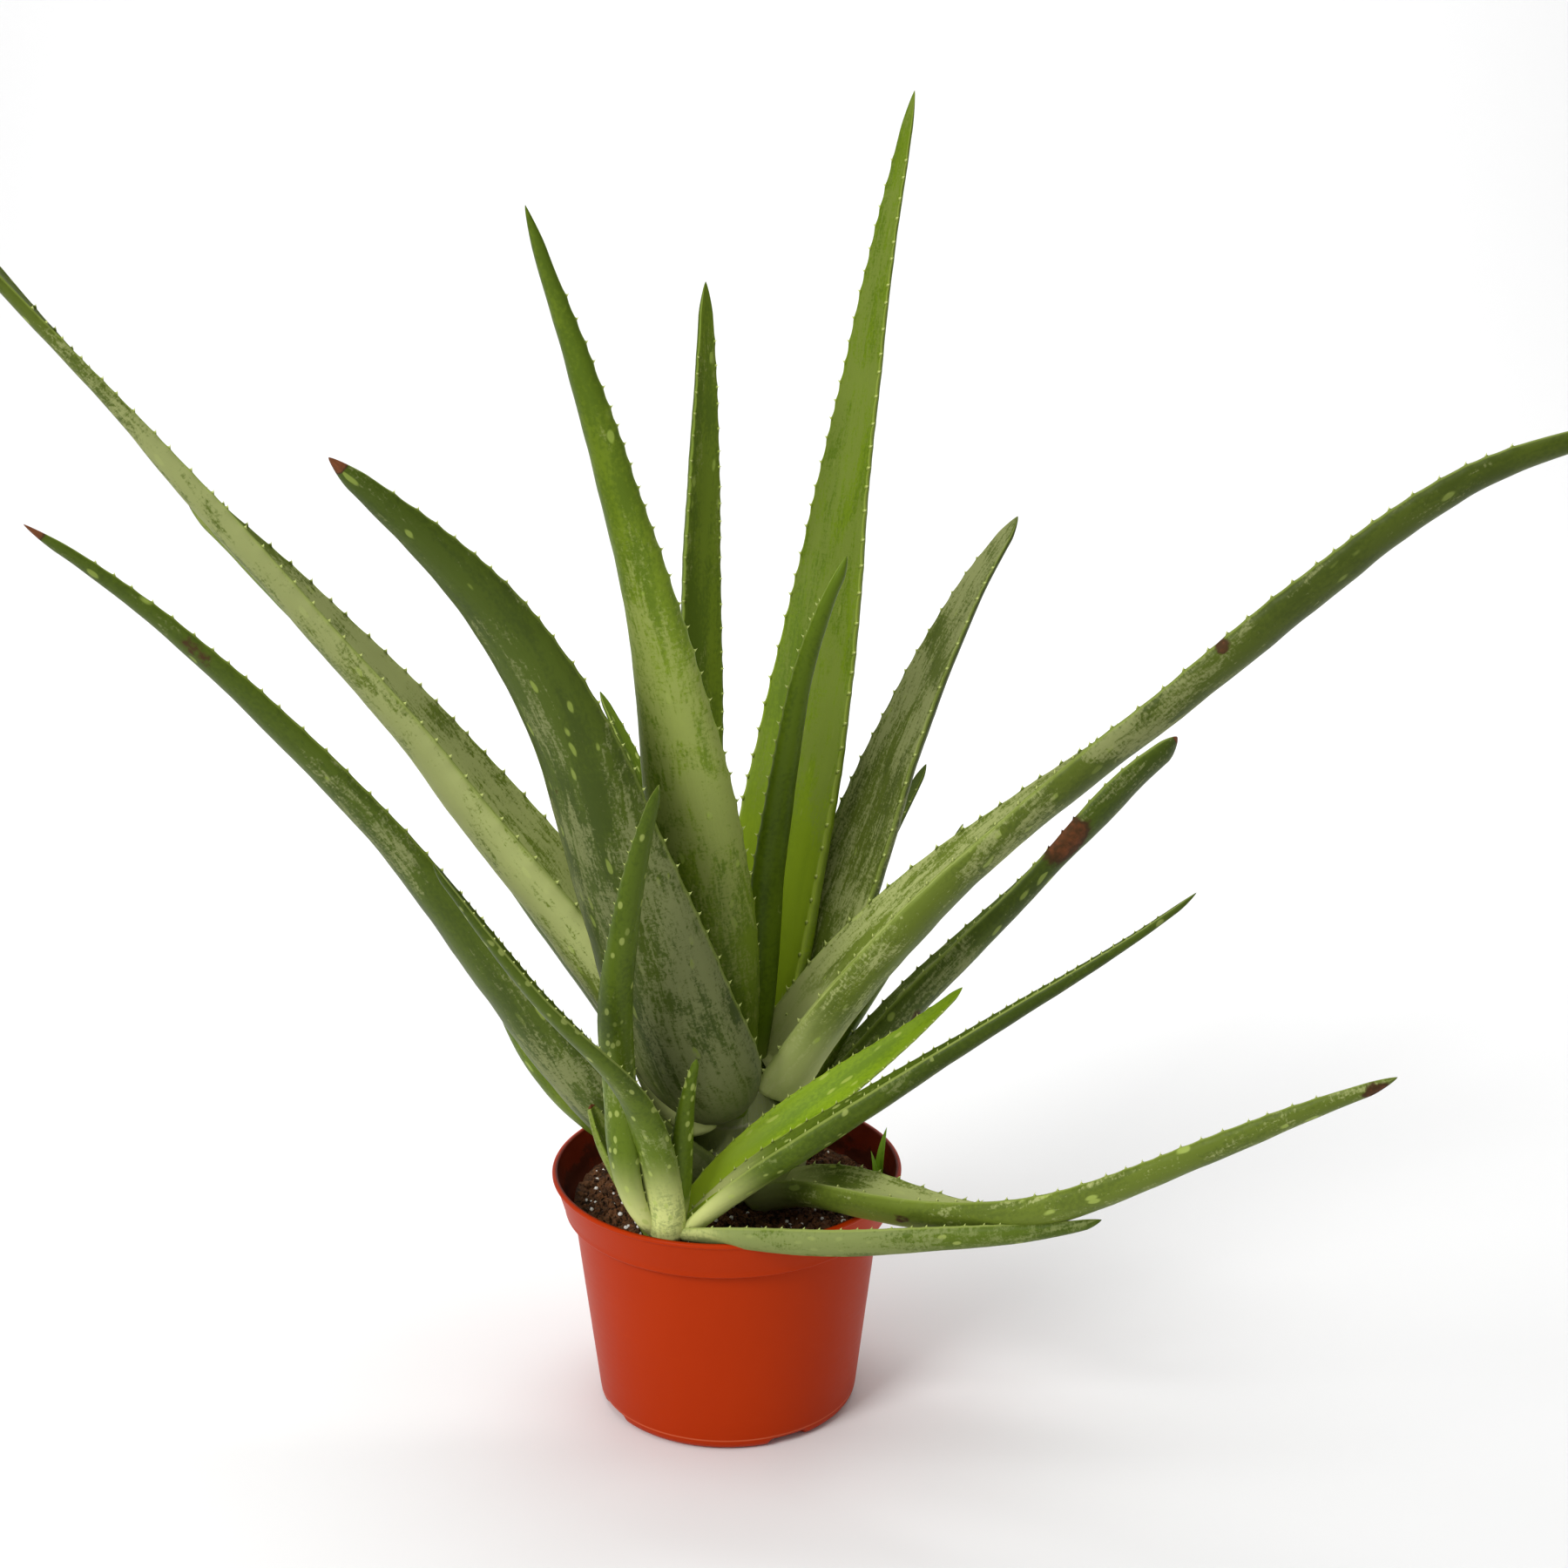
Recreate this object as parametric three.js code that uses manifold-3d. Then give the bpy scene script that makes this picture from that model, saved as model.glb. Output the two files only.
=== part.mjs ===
// Aloe vera with one offset plant, growing in a round plastic nursery pot.
// Millimetres, +Z up, +X to the plant's right, +Y to its back. The origin is the centre of the
// pot's flat underside. Every leaf, both stems, both grass shoots, the soil and the pot are
// separate closed solids that clear each other by CLEAR.
import * as THREE from 'three';
import { mergeVertices } from 'three/addons/utils/BufferGeometryUtils.js';
import Module from 'manifold-3d';

const wasm = await Module();
wasm.setup();

// Driving dimensions
const CLEAR = 0.35;            // gap kept between neighbouring pieces
const POT_HEIGHT = 108;
const POT_RIM_R = 76.2;        // outer radius at the very top: a 6 inch pot
const POT_FOOT_R = 57;         // outer radius where the wall meets the bottom corner
const POT_WALL_TOP_R = 67;     // outer radius just under the rim band
const POT_BAND_HEIGHT = 18;
const POT_BAND_LOW_R = 71;
const POT_LIP_R = 75.4;        // outer radius just under the lip
const POT_LIP_HEIGHT = 2.2;
const POT_WALL = 1.5;
const POT_FLOOR = 2.6;
const POT_CORNER = 5;          // radius of the bottom corner
const POT_FACETS = 48;
const NOTCH_COUNT = 4;         // drain notches under the bottom corner
const NOTCH_WIDTH = 18;
const NOTCH_HEIGHT = 2;
const NOTCH_INNER_R = 44;
const NOTCH_TURN = -61;        // degrees from +X to the first notch
const SOIL_EDGE_Z = 93;        // soil level at the wall
const SOIL_CROWN_Z = 96;       // soil level at the middle
const SPINE_STEPS = 120;       // stretches along a leaf's middle line
const LEAF_STEPS = 12;         // stretches along a leaf's surface
const TIP_CROWDING = 1.3;      // above 1, the surface's stretches get shorter towards the tip
const SECTION_STEPS = 4;       // stretches across each face of a leaf
const INNER_SHARE = 0.15;      // share of the thickness on the hollow side of the leaf's middle
const MARGIN = 1.4;            // thickness of a leaf's margins where it is widest
const DEG = Math.PI / 180;

// Leaves from the middle of the rosette outwards. foot: where the leaf leaves the stem. bearing:
// degrees in plan from +X towards +Y. rise: degrees above level. width: flat width. fold: angle
// that each half curls up by. roll: turn about the leaf's own length. The lists give values at
// equal steps from foot to tip. thick: thickness where the leaf is widest.
const LEAVES = {
  young: { foot: [6, 8, 142], length: 245, thick: 7, skin: 'dark',
    bearing: [-35, -30, -25, -15, -10], rise: [78, 85, 81, 78, 60],
    width: [18, 19, 18, 15, 12, 5], fold: [80, 70, 65, 60, 60], roll: [0, 0] },
  front_tall: { foot: [-4, 0, 136], length: 410, thick: 12, skin: 'green',
    bearing: [262, 257, 238, 226, 215], rise: [85, 72, 74, 70, 68],
    width: [36, 44, 40, 25, 15, 4], fold: [70, 45, 40, 45, 45], roll: [0, 0] },
  tall_right: { foot: [12, 14, 140], length: 435, thick: 11, skin: 'bright',
    bearing: [61, 60, 57, 50, 46], rise: [83, 70, 73, 76, 70],
    width: [38, 48, 41, 27, 15, 4], fold: [85, 50, 22, 20, 20, 25], roll: [0, 0] },
  back_upright: { foot: [-5, 18, 140], length: 350, thick: 9, skin: 'green',
    bearing: [100, 100, 101, 105, 111], rise: [74, 77, 92, 98, 86],
    width: [22, 20, 18, 17, 12, 4], fold: [60, 40, 35, 35, 35], roll: [0, 0] },
  inner_left_small: { foot: [-10, 18, 132], length: 190, thick: 5, skin: 'spotted',
    bearing: [135, 135, 135, 135], rise: [100, 74, 62, 48],
    width: [18, 16, 14, 10, 3], fold: [60, 45, 40, 35], roll: [0, 0] },
  right_wide: { foot: [18, 4, 138], length: 275, thick: 10, skin: 'grey',
    bearing: [35, 31, 33, 30, 29], rise: [70, 66, 65, 60, 48],
    width: [44, 48, 44, 33, 22, 7], fold: [70, 30, 18, 15, 15], roll: [-5, -5, 0, 0, 0] },
  back_right_small: { foot: [14, 20, 130], length: 180, thick: 6, skin: 'dark',
    bearing: [56, 53, 52, 50, 50], rise: [84, 47, 35, 40, 43],
    width: [18, 17, 15, 12, 9, 3], fold: [60, 40, 35, 30, 30], roll: [0, 0] },
  far_right: { foot: [18, -6, 155], length: 440, thick: 12, skin: 'grey',
    bearing: [-15, -13, -11, -10, -10, -8, -8], rise: [61, 51, 42, 41, 42, 36, 9],
    width: [50, 48, 36, 28, 24, 20, 11], fold: [80, 60, 50, 50, 45, 40, 40],
    roll: [-20, -12, -2, 14, 28, 30, 30] },
  far_left: { foot: [-12, 4, 132], length: 470, thick: 12, skin: 'grey',
    bearing: [190, 193, 195, 195, 193, 191], rise: [73, 56, 54, 50, 51, 52],
    width: [60, 58, 50, 36, 26, 12, 12], fold: [85, 70, 60, 50, 40], roll: [12, 14, 16, 8, -14, 10] },
  front_left: { foot: [-2, -13, 139], length: 355, thick: 13, skin: 'dark',
    bearing: [238, 230, 217, 212, 210], rise: [56, 66, 71, 52, 41],
    width: [78, 74, 60, 42, 26, 8], fold: [85, 54, 38, 34, 36], roll: [0, 0, -8, -20, -30, -30] },
  under_far_left: { foot: [-14, 14, 126], length: 345, thick: 9, skin: 'green',
    bearing: [172, 170, 168, 168, 168], rise: [57, 55, 53, 45, 40],
    width: [30, 26, 24, 21, 17, 8], fold: [75, 50, 40, 35, 30], roll: [-30, -40] },
  right_inner: { foot: [20, 16, 120], length: 160, thick: 5, skin: 'green',
    bearing: [38, 38, 36, 36, 36], rise: [40, 44, 47, 52, 57],
    width: [20, 17, 14, 10, 3], fold: [70, 45, 35, 30], roll: [20, 20] },
  right_scarred: { foot: [20, 8, 118], length: 250, thick: 9, skin: 'dark',
    bearing: [18, 18, 15, 14, 14], rise: [41, 45, 40, 47, 30],
    width: [32, 30, 28, 24, 20, 25, 16], fold: [80, 65, 55, 45, 30], roll: [15, 20, 22, 30, 35] },
  low_left: { foot: [-12, -6, 112], length: 395, thick: 12, skin: 'dark',
    bearing: [202, 198, 196, 195, 195, 195], rise: [41, 53, 56, 51, 45, 35],
    width: [64, 56, 42, 29, 22, 14, 6], fold: [80, 60, 50, 45, 40], roll: [0, -5, -15, -20, -20] },
  behind_low_left: { foot: [-16, 4, 104], length: 145, thick: 6, skin: 'green',
    bearing: [176, 176, 176, 176], rise: [23, 38, 63, 87],
    width: [24, 22, 20, 14, 3], fold: [70, 50, 40, 40], roll: [-30, -30] },
  low_right: { foot: [16, -12, 102], length: 300, thick: 8, skin: 'grey',
    bearing: [-44, -42, -32, -20, -14, -12], rise: [33, 7, 13, 30, 30, 24],
    width: [28, 31, 25, 17, 14, 6], fold: [70, 60, 50, 45, 40], roll: [0, 5, 25, 40, 40, 40] },
  pup_small: { foot: [-21, -58, 108], length: 85, thick: 3, skin: 'spotted',
    bearing: [-60, -60, -50], rise: [77, 79, 67],
    width: [11, 12, 10, 7, 3], fold: [70, 60, 50], roll: [0, 0] },
  pup_upright: { foot: [-27, -56, 105], length: 230, thick: 5, skin: 'spotted',
    bearing: [222, 240, 277, 300, 315], rise: [50, 85, 65, 71, 64],
    width: [10, 17, 15, 13, 10, 4], fold: [75, 65, 55, 50, 40], roll: [20, 20, 10, 0, 0] },
  pup_right_upper: { foot: [-19, -55, 107], length: 155, thick: 4, skin: 'bright',
    bearing: [13, 13, 14, 14], rise: [52, 36, 33, 41],
    width: [13, 17, 18, 15, 9, 3], fold: [50, 35, 25, 20], roll: [-20, -38, -38, -25] },
  pup_right_long: { foot: [-19, -58, 105], length: 260, thick: 6, skin: 'spotted',
    bearing: [-7, -6, -6, -6, -6], rise: [49, 36, 36, 35, 39],
    width: [12, 22, 19, 13, 8, 3], fold: [80, 70, 60, 55, 50], roll: [0, 5, 10, 12, 12] },
  pup_left: { foot: [-23, -60, 106], length: 225, thick: 5, skin: 'spotted',
    bearing: [256, 246, 226, 210, 206], rise: [79, 64, 48, 55, 56],
    width: [17, 18, 15, 12, 9, 4], fold: [80, 60, 50, 45, 40], roll: [0, 10, 15, 15] },
  pup_far_left: { foot: [-29, -56, 103], length: 62, thick: 4, skin: 'green',
    bearing: [165, 165, 165], rise: [70, 62, 66],
    width: [8, 13, 13, 11, 4], fold: [70, 50, 40], roll: [30, 20] },
  pup_low: { foot: [-20, -60, 107], length: 180, thick: 6, skin: 'spotted',
    bearing: [-22, -18, -14, -14, -14], rise: [10, 4, 10, 11, 17],
    width: [8, 16, 17, 15, 11, 4], fold: [50, 40, 35, 35, 35], roll: [20, 40, 45, 45] },
};

// Upright stems: centre in plan, then radius and height from the buried end to the top.
const STEMS = {
  main_stem: { at: [9, 9], skin: 'sheath', sides: 16,
    rings: [[5, 52], [14, 64], [20, 84], [25, 99], [26, 112], [23, 127], [16, 142], [8, 152]] },
  pup_stem: { at: [-24, -56], skin: 'sheath', sides: 12,
    rings: [[1.5, 76], [3.5, 84], [4, 90], [7, 95], [8, 99], [6, 106], [3, 110]] },
};

// Two blades of grass beside the back right of the rim: foot, length, width, bearing and rise.
const SHOOTS = {
  grass_blade_long: { foot: [66, 8, 86], length: 32, width: 4.5, thick: 1, bearing: 60, rise: 82 },
  grass_blade_short: { foot: [66, 2, 86], length: 25, width: 3.2, thick: 1, bearing: 120, rise: 84 },
};

const SKINS = {
  green: { color: 0x6f8a45, roughness: 0.5 },
  grey: { color: 0x8b9a72, roughness: 0.55 },
  dark: { color: 0x4f6532, roughness: 0.5 },
  bright: { color: 0x86a336, roughness: 0.45 },
  spotted: { color: 0x6d8c3c, roughness: 0.5 },
  sheath: { color: 0x9aa67c, roughness: 0.6 },
  grass: { color: 0x6f9a2a, roughness: 0.5 },
  soil: { color: 0x2b1a12, roughness: 0.95 },
  terracotta: { color: 0xb5380e, roughness: 0.4 },
};

// Value at share u of the way along a list of values at equal steps, on a smooth curve through
// them all (Catmull-Rom), running straight on at both ends.
function along(values, u) {
  const last = values.length - 1;
  const x = Math.min(u * last, last - 1e-9);
  const i = Math.floor(x);
  const t = x - i;
  const b = values[i];
  const c = values[i + 1];
  const a = i > 0 ? values[i - 1] : 2 * b - c;
  const d = i + 1 < last ? values[i + 2] : 2 * c - b;
  return b + 0.5 * t * (c - a + t * (2 * a - 5 * b + 4 * c - d + t * (3 * b - 3 * c + d - a)));
}

function direction(bearing, rise) {
  return new THREE.Vector3(
    Math.cos(rise * DEG) * Math.cos(bearing * DEG),
    Math.cos(rise * DEG) * Math.sin(bearing * DEG),
    Math.sin(rise * DEG),
  );
}

// The leaf's middle line: its direction summed from the foot to the tip by the midpoint rule.
function midrib(leaf) {
  const points = [new THREE.Vector3(...leaf.foot)];
  for (let i = 0; i < SPINE_STEPS; i++) {
    const u = (i + 0.5) / SPINE_STEPS;
    const step = direction(along(leaf.bearing, u), along(leaf.rise, u));
    points.push(points[i].clone().addScaledVector(step, leaf.length / SPINE_STEPS));
  }
  return points;
}

// A closed surface from rings of points. Each ring runs across one face and back across the
// other, so the start is closed by strips between the two faces, and the end by a point.
function ringSolid(rings, tip) {
  const sides = rings[0].length;
  const points = rings.flat().concat([tip]);
  const index = [];
  for (let s = 0; s < rings.length - 1; s++) {
    for (let k = 0; k < sides; k++) {
      const a = s * sides + k;
      const b = s * sides + (k + 1) % sides;
      index.push(a, b, b + sides, a, b + sides, a + sides);
    }
  }
  const end = (rings.length - 1) * sides;
  for (let k = 0; k < sides; k++) index.push(end + k, end + (k + 1) % sides, points.length - 1);
  for (let k = 0; k < sides / 2 - 1; k++) {
    const opposite = sides - 1 - k;
    index.push(k, opposite - 1, k + 1, k, opposite, opposite - 1);
  }
  const geometry = new THREE.BufferGeometry();
  geometry.setAttribute('position', new THREE.Float32BufferAttribute(
    points.flatMap((p) => [p.x, p.y, p.z]), 3));
  geometry.setIndex(index);
  return solid(geometry);
}

// Manifold solid from a three.js geometry with its shared vertices merged.
function solid(source) {
  const geometry = source.clone();
  geometry.deleteAttribute('normal');
  geometry.deleteAttribute('uv');
  const merged = mergeVertices(geometry, 1e-3);
  return new wasm.Manifold(new wasm.Mesh({
    numProp: 3,
    vertProperties: merged.attributes.position.array,
    triVerts: new Uint32Array(merged.index.array),
  }));
}

// One fleshy leaf. Across it, v runs from -1 to 1 and its middle surface is an arc that turns by
// fold at each margin, with the middle line at half the arc's depth. The hollow inner face stands a
// little above that arc and the round outer face well below it, and both end in thin blunt margins.
// grow makes the whole leaf larger all round.
function leafSolid(leaf, grow = 0) {
  const spine = midrib(leaf);
  const widest = Math.max(...leaf.width);
  const rings = [];
  for (let s = 0; s < LEAF_STEPS; s++) {
    const station = Math.round(SPINE_STEPS * (1 - (1 - s / LEAF_STEPS) ** TIP_CROWDING));
    const u = station / SPINE_STEPS;
    const bearing = along(leaf.bearing, u);
    const rise = along(leaf.rise, u);
    const length = direction(bearing, rise);
    const inward = direction(bearing, rise + 90);
    const side = new THREE.Vector3().crossVectors(length, inward);
    const roll = along(leaf.roll, u) * DEG;
    const across = side.clone().multiplyScalar(Math.cos(roll)).addScaledVector(inward, Math.sin(roll));
    const normal = inward.clone().multiplyScalar(Math.cos(roll)).addScaledVector(side, -Math.sin(roll));
    const width = along(leaf.width, u);
    const half = width / 2 + grow;
    const fold = along(leaf.fold, u) * DEG;
    const thick = leaf.thick * (width / widest) ** 0.7;
    const middle = spine[station].clone().addScaledVector(length, s ? 0 : -grow);
    const place = (v, lift) => {
      const x = half * Math.sin(fold * v) / fold - lift * Math.sin(fold * v);
      const y = half * ((1 + Math.cos(fold)) / 2 - Math.cos(fold * v)) / fold + lift * Math.cos(fold * v);
      return middle.clone().addScaledVector(across, x).addScaledVector(normal, y);
    };
    const edge = MARGIN * (width / widest) ** 0.7 / 2 + grow;
    const ring = [];
    for (let k = 0; k <= SECTION_STEPS; k++) {
      const v = -1 + 2 * k / SECTION_STEPS;
      ring.push(place(v, edge + INNER_SHARE * thick * (1 - v * v)));
    }
    for (let k = SECTION_STEPS; k >= 0; k--) {
      const v = -1 + 2 * k / SECTION_STEPS;
      ring.push(place(v, -edge - (1 - INNER_SHARE) * thick * (1 - v * v) ** 0.6));
    }
    rings.push(ring);
  }
  const tip = spine[SPINE_STEPS].clone().addScaledVector(
    direction(along(leaf.bearing, 1), along(leaf.rise, 1)), grow);
  return ringSolid(rings, tip);
}

function latheSolid(profile, facets, x = 0, y = 0) {
  const points = profile.map(([r, z]) => new THREE.Vector2(r, z));
  const geometry = new THREE.LatheGeometry(points, facets);
  geometry.rotateX(90 * DEG);
  geometry.translate(x, y, 0);
  return solid(geometry);
}

function stemSolid(stem, grow = 0) {
  const bottom = stem.rings[0][1] - grow;
  const top = stem.rings[stem.rings.length - 1][1] + grow;
  const wall = stem.rings.map(([r, z]) => [r + grow, z]);
  return latheSolid([[0, bottom], ...wall, [0, top]], stem.sides, ...stem.at);
}

// A flat blade that narrows to its tip, as an extruded outline stood on its end and leaned over.
function bladeSolid(shoot, grow = 0) {
  const half = shoot.width / 2 + grow;
  const outline = new THREE.Shape();
  outline.moveTo(-half, -grow);
  outline.lineTo(half, -grow);
  outline.lineTo(half, shoot.length * 0.7);
  outline.quadraticCurveTo(half * 0.8, shoot.length * 0.93, 0, shoot.length + grow);
  outline.quadraticCurveTo(-half * 0.8, shoot.length * 0.93, -half, shoot.length * 0.7);
  outline.closePath();
  const depth = shoot.thick + 2 * grow;
  const blade = new THREE.ExtrudeGeometry(outline, { depth, bevelEnabled: false, curveSegments: 3 });
  blade.translate(0, 0, -depth / 2);
  blade.rotateX(shoot.rise * DEG);
  blade.rotateZ((shoot.bearing - 90) * DEG);
  blade.translate(...shoot.foot);
  return solid(blade);
}

// Outside of the pot from the middle of its underside to the top of the lip.
function potOutside(grow = 0) {
  const corner = [0, 30, 60, 90].map((turn) => [
    POT_FOOT_R - POT_CORNER + (POT_CORNER + grow) * Math.sin(turn * DEG),
    POT_CORNER - (POT_CORNER + grow) * Math.cos(turn * DEG),
  ]);
  const bandZ = POT_HEIGHT - POT_BAND_HEIGHT;
  return [
    [0, -grow],
    ...corner,
    [POT_WALL_TOP_R + grow, bandZ - 1],
    [POT_BAND_LOW_R - 1 + grow, bandZ - grow],
    [POT_BAND_LOW_R + grow, bandZ + 1],
    [POT_LIP_R - 0.4 + grow, POT_HEIGHT - POT_LIP_HEIGHT],
    [POT_RIM_R + grow, POT_HEIGHT - POT_LIP_HEIGHT + 0.4],
    [POT_RIM_R + grow, POT_HEIGHT - 0.6],
    [POT_RIM_R - 0.7, POT_HEIGHT + grow],
  ];
}

// Inside of the pot from the top of the lip down to the middle of the floor.
function potInside(inset = 0) {
  const bandZ = POT_HEIGHT - POT_BAND_HEIGHT;
  return [
    [POT_LIP_R - POT_WALL + 0.4 - inset, POT_HEIGHT - 0.4],
    [POT_BAND_LOW_R - POT_WALL - inset, bandZ + 1 + POT_WALL],
    [POT_WALL_TOP_R - POT_WALL - inset, bandZ - 1],
    [POT_FOOT_R - POT_WALL - inset, POT_CORNER + 1],
    [POT_FOOT_R - POT_CORNER - inset, POT_FLOOR + inset],
  ];
}

function potSolid() {
  const inside = potInside();
  let pot = latheSolid([...potOutside(), ...inside, [0, POT_FLOOR]], POT_FACETS);
  for (let i = 0; i < NOTCH_COUNT; i++) {
    const length = POT_FOOT_R - NOTCH_INNER_R + 2;
    const notch = new THREE.BoxGeometry(length, NOTCH_WIDTH, 2 * NOTCH_HEIGHT);
    notch.translate(NOTCH_INNER_R + length / 2, 0, 0);
    notch.rotateZ((NOTCH_TURN + 360 * i / NOTCH_COUNT) * DEG);
    pot = pot.subtract(solid(notch));
  }
  return pot;
}

function soilSolid() {
  const wall = potInside(CLEAR).filter(([, z]) => z < SOIL_EDGE_Z).reverse();
  const [topR, topZ] = wall[wall.length - 1];
  const profile = [
    [0, POT_FLOOR + CLEAR], ...wall, [topR, Math.max(SOIL_EDGE_Z, topZ + 1)],
    [topR * 0.6, SOIL_EDGE_Z + 1.4], [topR * 0.3, SOIL_CROWN_Z - 0.4], [0, SOIL_CROWN_Z],
  ];
  return latheSolid(profile, POT_FACETS);
}

const group = new THREE.Group();

function addPiece(name, body, skin) {
  const largest = body.decompose().sort((a, b) => b.volume() - a.volume())[0];
  const mesh = largest.getMesh();
  const geometry = new THREE.BufferGeometry();
  geometry.setAttribute('position', new THREE.Float32BufferAttribute(mesh.vertProperties, 3));
  geometry.setIndex(new THREE.BufferAttribute(mesh.triVerts, 1));
  geometry.computeVertexNormals();
  const piece = new THREE.Mesh(geometry, new THREE.MeshStandardMaterial({ ...SKINS[skin], metalness: 0 }));
  piece.name = name;
  group.add(piece);
}

// Each piece is cut by the grown shapes of all the pieces inside it, so that the outer leaves
// clasp the inner ones and the soil fits round what stands in it.
let inner = latheSolid([...potOutside(CLEAR), ...potInside(CLEAR), [0, POT_FLOOR + CLEAR]], POT_FACETS);
for (const [name, stem] of Object.entries(STEMS)) {
  addPiece(name, stemSolid(stem), stem.skin);
  inner = inner.add(stemSolid(stem, CLEAR));
}
for (const [name, leaf] of Object.entries(LEAVES)) {
  addPiece(name, leafSolid(leaf).subtract(inner), leaf.skin);
  inner = inner.add(leafSolid(leaf, CLEAR));
}
for (const [name, shoot] of Object.entries(SHOOTS)) {
  addPiece(name, bladeSolid(shoot).subtract(inner), 'grass');
  inner = inner.add(bladeSolid(shoot, CLEAR));
}
addPiece('soil', soilSolid().subtract(inner), 'soil');
addPiece('pot', potSolid(), 'terracotta');

export default group;
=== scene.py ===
"""Aloe vera with one offset plant in a plastic nursery pot: the fine leaves, stems, soil and pot."""
import math

import bpy
import numpy as np
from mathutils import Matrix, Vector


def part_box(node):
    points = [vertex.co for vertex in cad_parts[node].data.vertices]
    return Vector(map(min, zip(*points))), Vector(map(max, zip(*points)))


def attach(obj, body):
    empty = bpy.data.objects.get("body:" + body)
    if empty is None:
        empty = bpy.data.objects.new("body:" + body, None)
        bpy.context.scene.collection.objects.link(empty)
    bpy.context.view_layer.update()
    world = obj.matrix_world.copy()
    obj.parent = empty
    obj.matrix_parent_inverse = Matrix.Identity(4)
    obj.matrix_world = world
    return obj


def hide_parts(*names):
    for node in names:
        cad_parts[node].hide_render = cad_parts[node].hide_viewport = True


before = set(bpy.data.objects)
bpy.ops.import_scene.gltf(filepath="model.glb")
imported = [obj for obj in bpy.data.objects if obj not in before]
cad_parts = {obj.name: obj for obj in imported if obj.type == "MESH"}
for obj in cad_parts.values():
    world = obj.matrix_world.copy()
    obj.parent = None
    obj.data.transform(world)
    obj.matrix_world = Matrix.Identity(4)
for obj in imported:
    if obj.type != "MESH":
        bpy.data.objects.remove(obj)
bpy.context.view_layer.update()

MM = 0.001
DEG = math.pi / 180

# ---------------------------------------------------------------- camera, light and floor

CAMERA_PLACE = (0.025, -1.040, 0.608)
CAMERA_TILT = 17.4 * DEG       # below level
CAMERA_LENS = 60


def add_camera():
    data = bpy.data.cameras.new("studio_camera")
    data.lens = CAMERA_LENS
    data.sensor_width = 36
    data.clip_end = 50
    camera = bpy.data.objects.new("studio_camera", data)
    camera.location = CAMERA_PLACE
    camera.rotation_euler = (90 * DEG - CAMERA_TILT, 0, 0)
    bpy.context.scene.collection.objects.link(camera)
    bpy.context.scene.camera = camera


def add_softbox(name, place, target, size, power):
    """A square area light at place that faces target."""
    data = bpy.data.lights.new(name, "AREA")
    data.shape = "SQUARE"
    data.size = size
    data.energy = power
    lamp = bpy.data.objects.new(name, data)
    aim = np.subtract(target, place)
    lamp.location = place
    lamp.rotation_euler = (
        math.atan2(math.hypot(aim[0], aim[1]), -aim[2]), 0, math.atan2(aim[1], aim[0]) - 90 * DEG)
    bpy.context.scene.collection.objects.link(lamp)


def add_light():
    world = bpy.data.worlds.new("studio")
    world.use_nodes = True
    background = world.node_tree.nodes["Background"]
    background.inputs["Color"].default_value = (1, 1, 1, 1)
    background.inputs["Strength"].default_value = 0.40
    bpy.context.scene.world = world
    bpy.context.scene.view_settings.view_transform = "Standard"
    add_softbox("key_softbox", (-1.2, -1.5, 1.6), (0, 0, 0.25), 0.8, 33)
    add_softbox("top_softbox", (-0.2, -0.3, 2.2), (0, 0, 0.25), 1.2, 12)
    add_softbox("wall_softbox", (0, 0.9, 2.4), (0, 3.2, 0.8), 1.6, 60)


add_camera()
add_light()

# ---------------------------------------------------------------- meshes


def shell(points, faces):
    """Points and faces of one closed surface. Its volume is a sixth of the sum over its triangles
    of the corners' triple product, and where that is negative the faces are turned over."""
    volume = 0.0
    for face in faces:
        for k in range(1, face.shape[1] - 1):
            a, b, c = points[face[:, 0]], points[face[:, k]], points[face[:, k + 1]]
            volume += np.einsum("ij,ij->", a, np.cross(b, c))
    if volume < 0:
        faces = [face[:, ::-1] for face in faces]
    return points, faces


def closed_rings(grid, first, last):
    """Surface through the rows of grid, each row a closed ring, drawn together to a single point at
    each end. Corner (i, j) joins to (i, j + 1), (i + 1, j + 1) and (i + 1, j)."""
    rows, sides = grid.shape[:2]
    index = np.arange(rows * sides).reshape(rows, sides)
    right = np.roll(index, -1, axis=1)
    quads = np.stack([index[:-1], right[:-1], right[1:], index[1:]], axis=-1).reshape(-1, 4)
    start, end = rows * sides, rows * sides + 1
    fans = np.concatenate([
        np.stack([np.full(sides, start), right[0], index[0]], axis=-1),
        np.stack([np.full(sides, end), index[-1], right[-1]], axis=-1)])
    points = np.concatenate([grid.reshape(-1, 3), [first], [last]])
    return shell(points, [quads, fans])


def joined(shells):
    """Several closed surfaces as one list of points and faces."""
    points, faces, count = [], [], 0
    for some_points, some_faces in shells:
        points.append(some_points)
        faces += [face + count for face in some_faces]
        count += len(some_points)
    return np.concatenate(points), faces


def add_piece(name, surface, material, nodes=(), values=None, smooth=True):
    """Makes a piece from points in millimetres. values holds vertex attributes by name, with one
    number or three numbers for each point."""
    points, faces = surface
    mesh = bpy.data.meshes.new(name)
    corners = [tuple(corner) for face in faces for corner in face.tolist()]
    mesh.from_pydata((points * MM).tolist(), [], corners)
    mesh.polygons.foreach_set("use_smooth", np.full(len(mesh.polygons), smooth))
    for label, array in (values or {}).items():
        kind, field = ("FLOAT", "value") if array.ndim == 1 else ("FLOAT_VECTOR", "vector")
        mesh.attributes.new(label, kind, "POINT").data.foreach_set(field, array.ravel())
    mesh.materials.append(material)
    mesh.update()
    piece = bpy.data.objects.new(name, mesh)
    bpy.context.scene.collection.objects.link(piece)
    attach(piece, "root")
    if nodes:
        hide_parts(*nodes)


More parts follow.
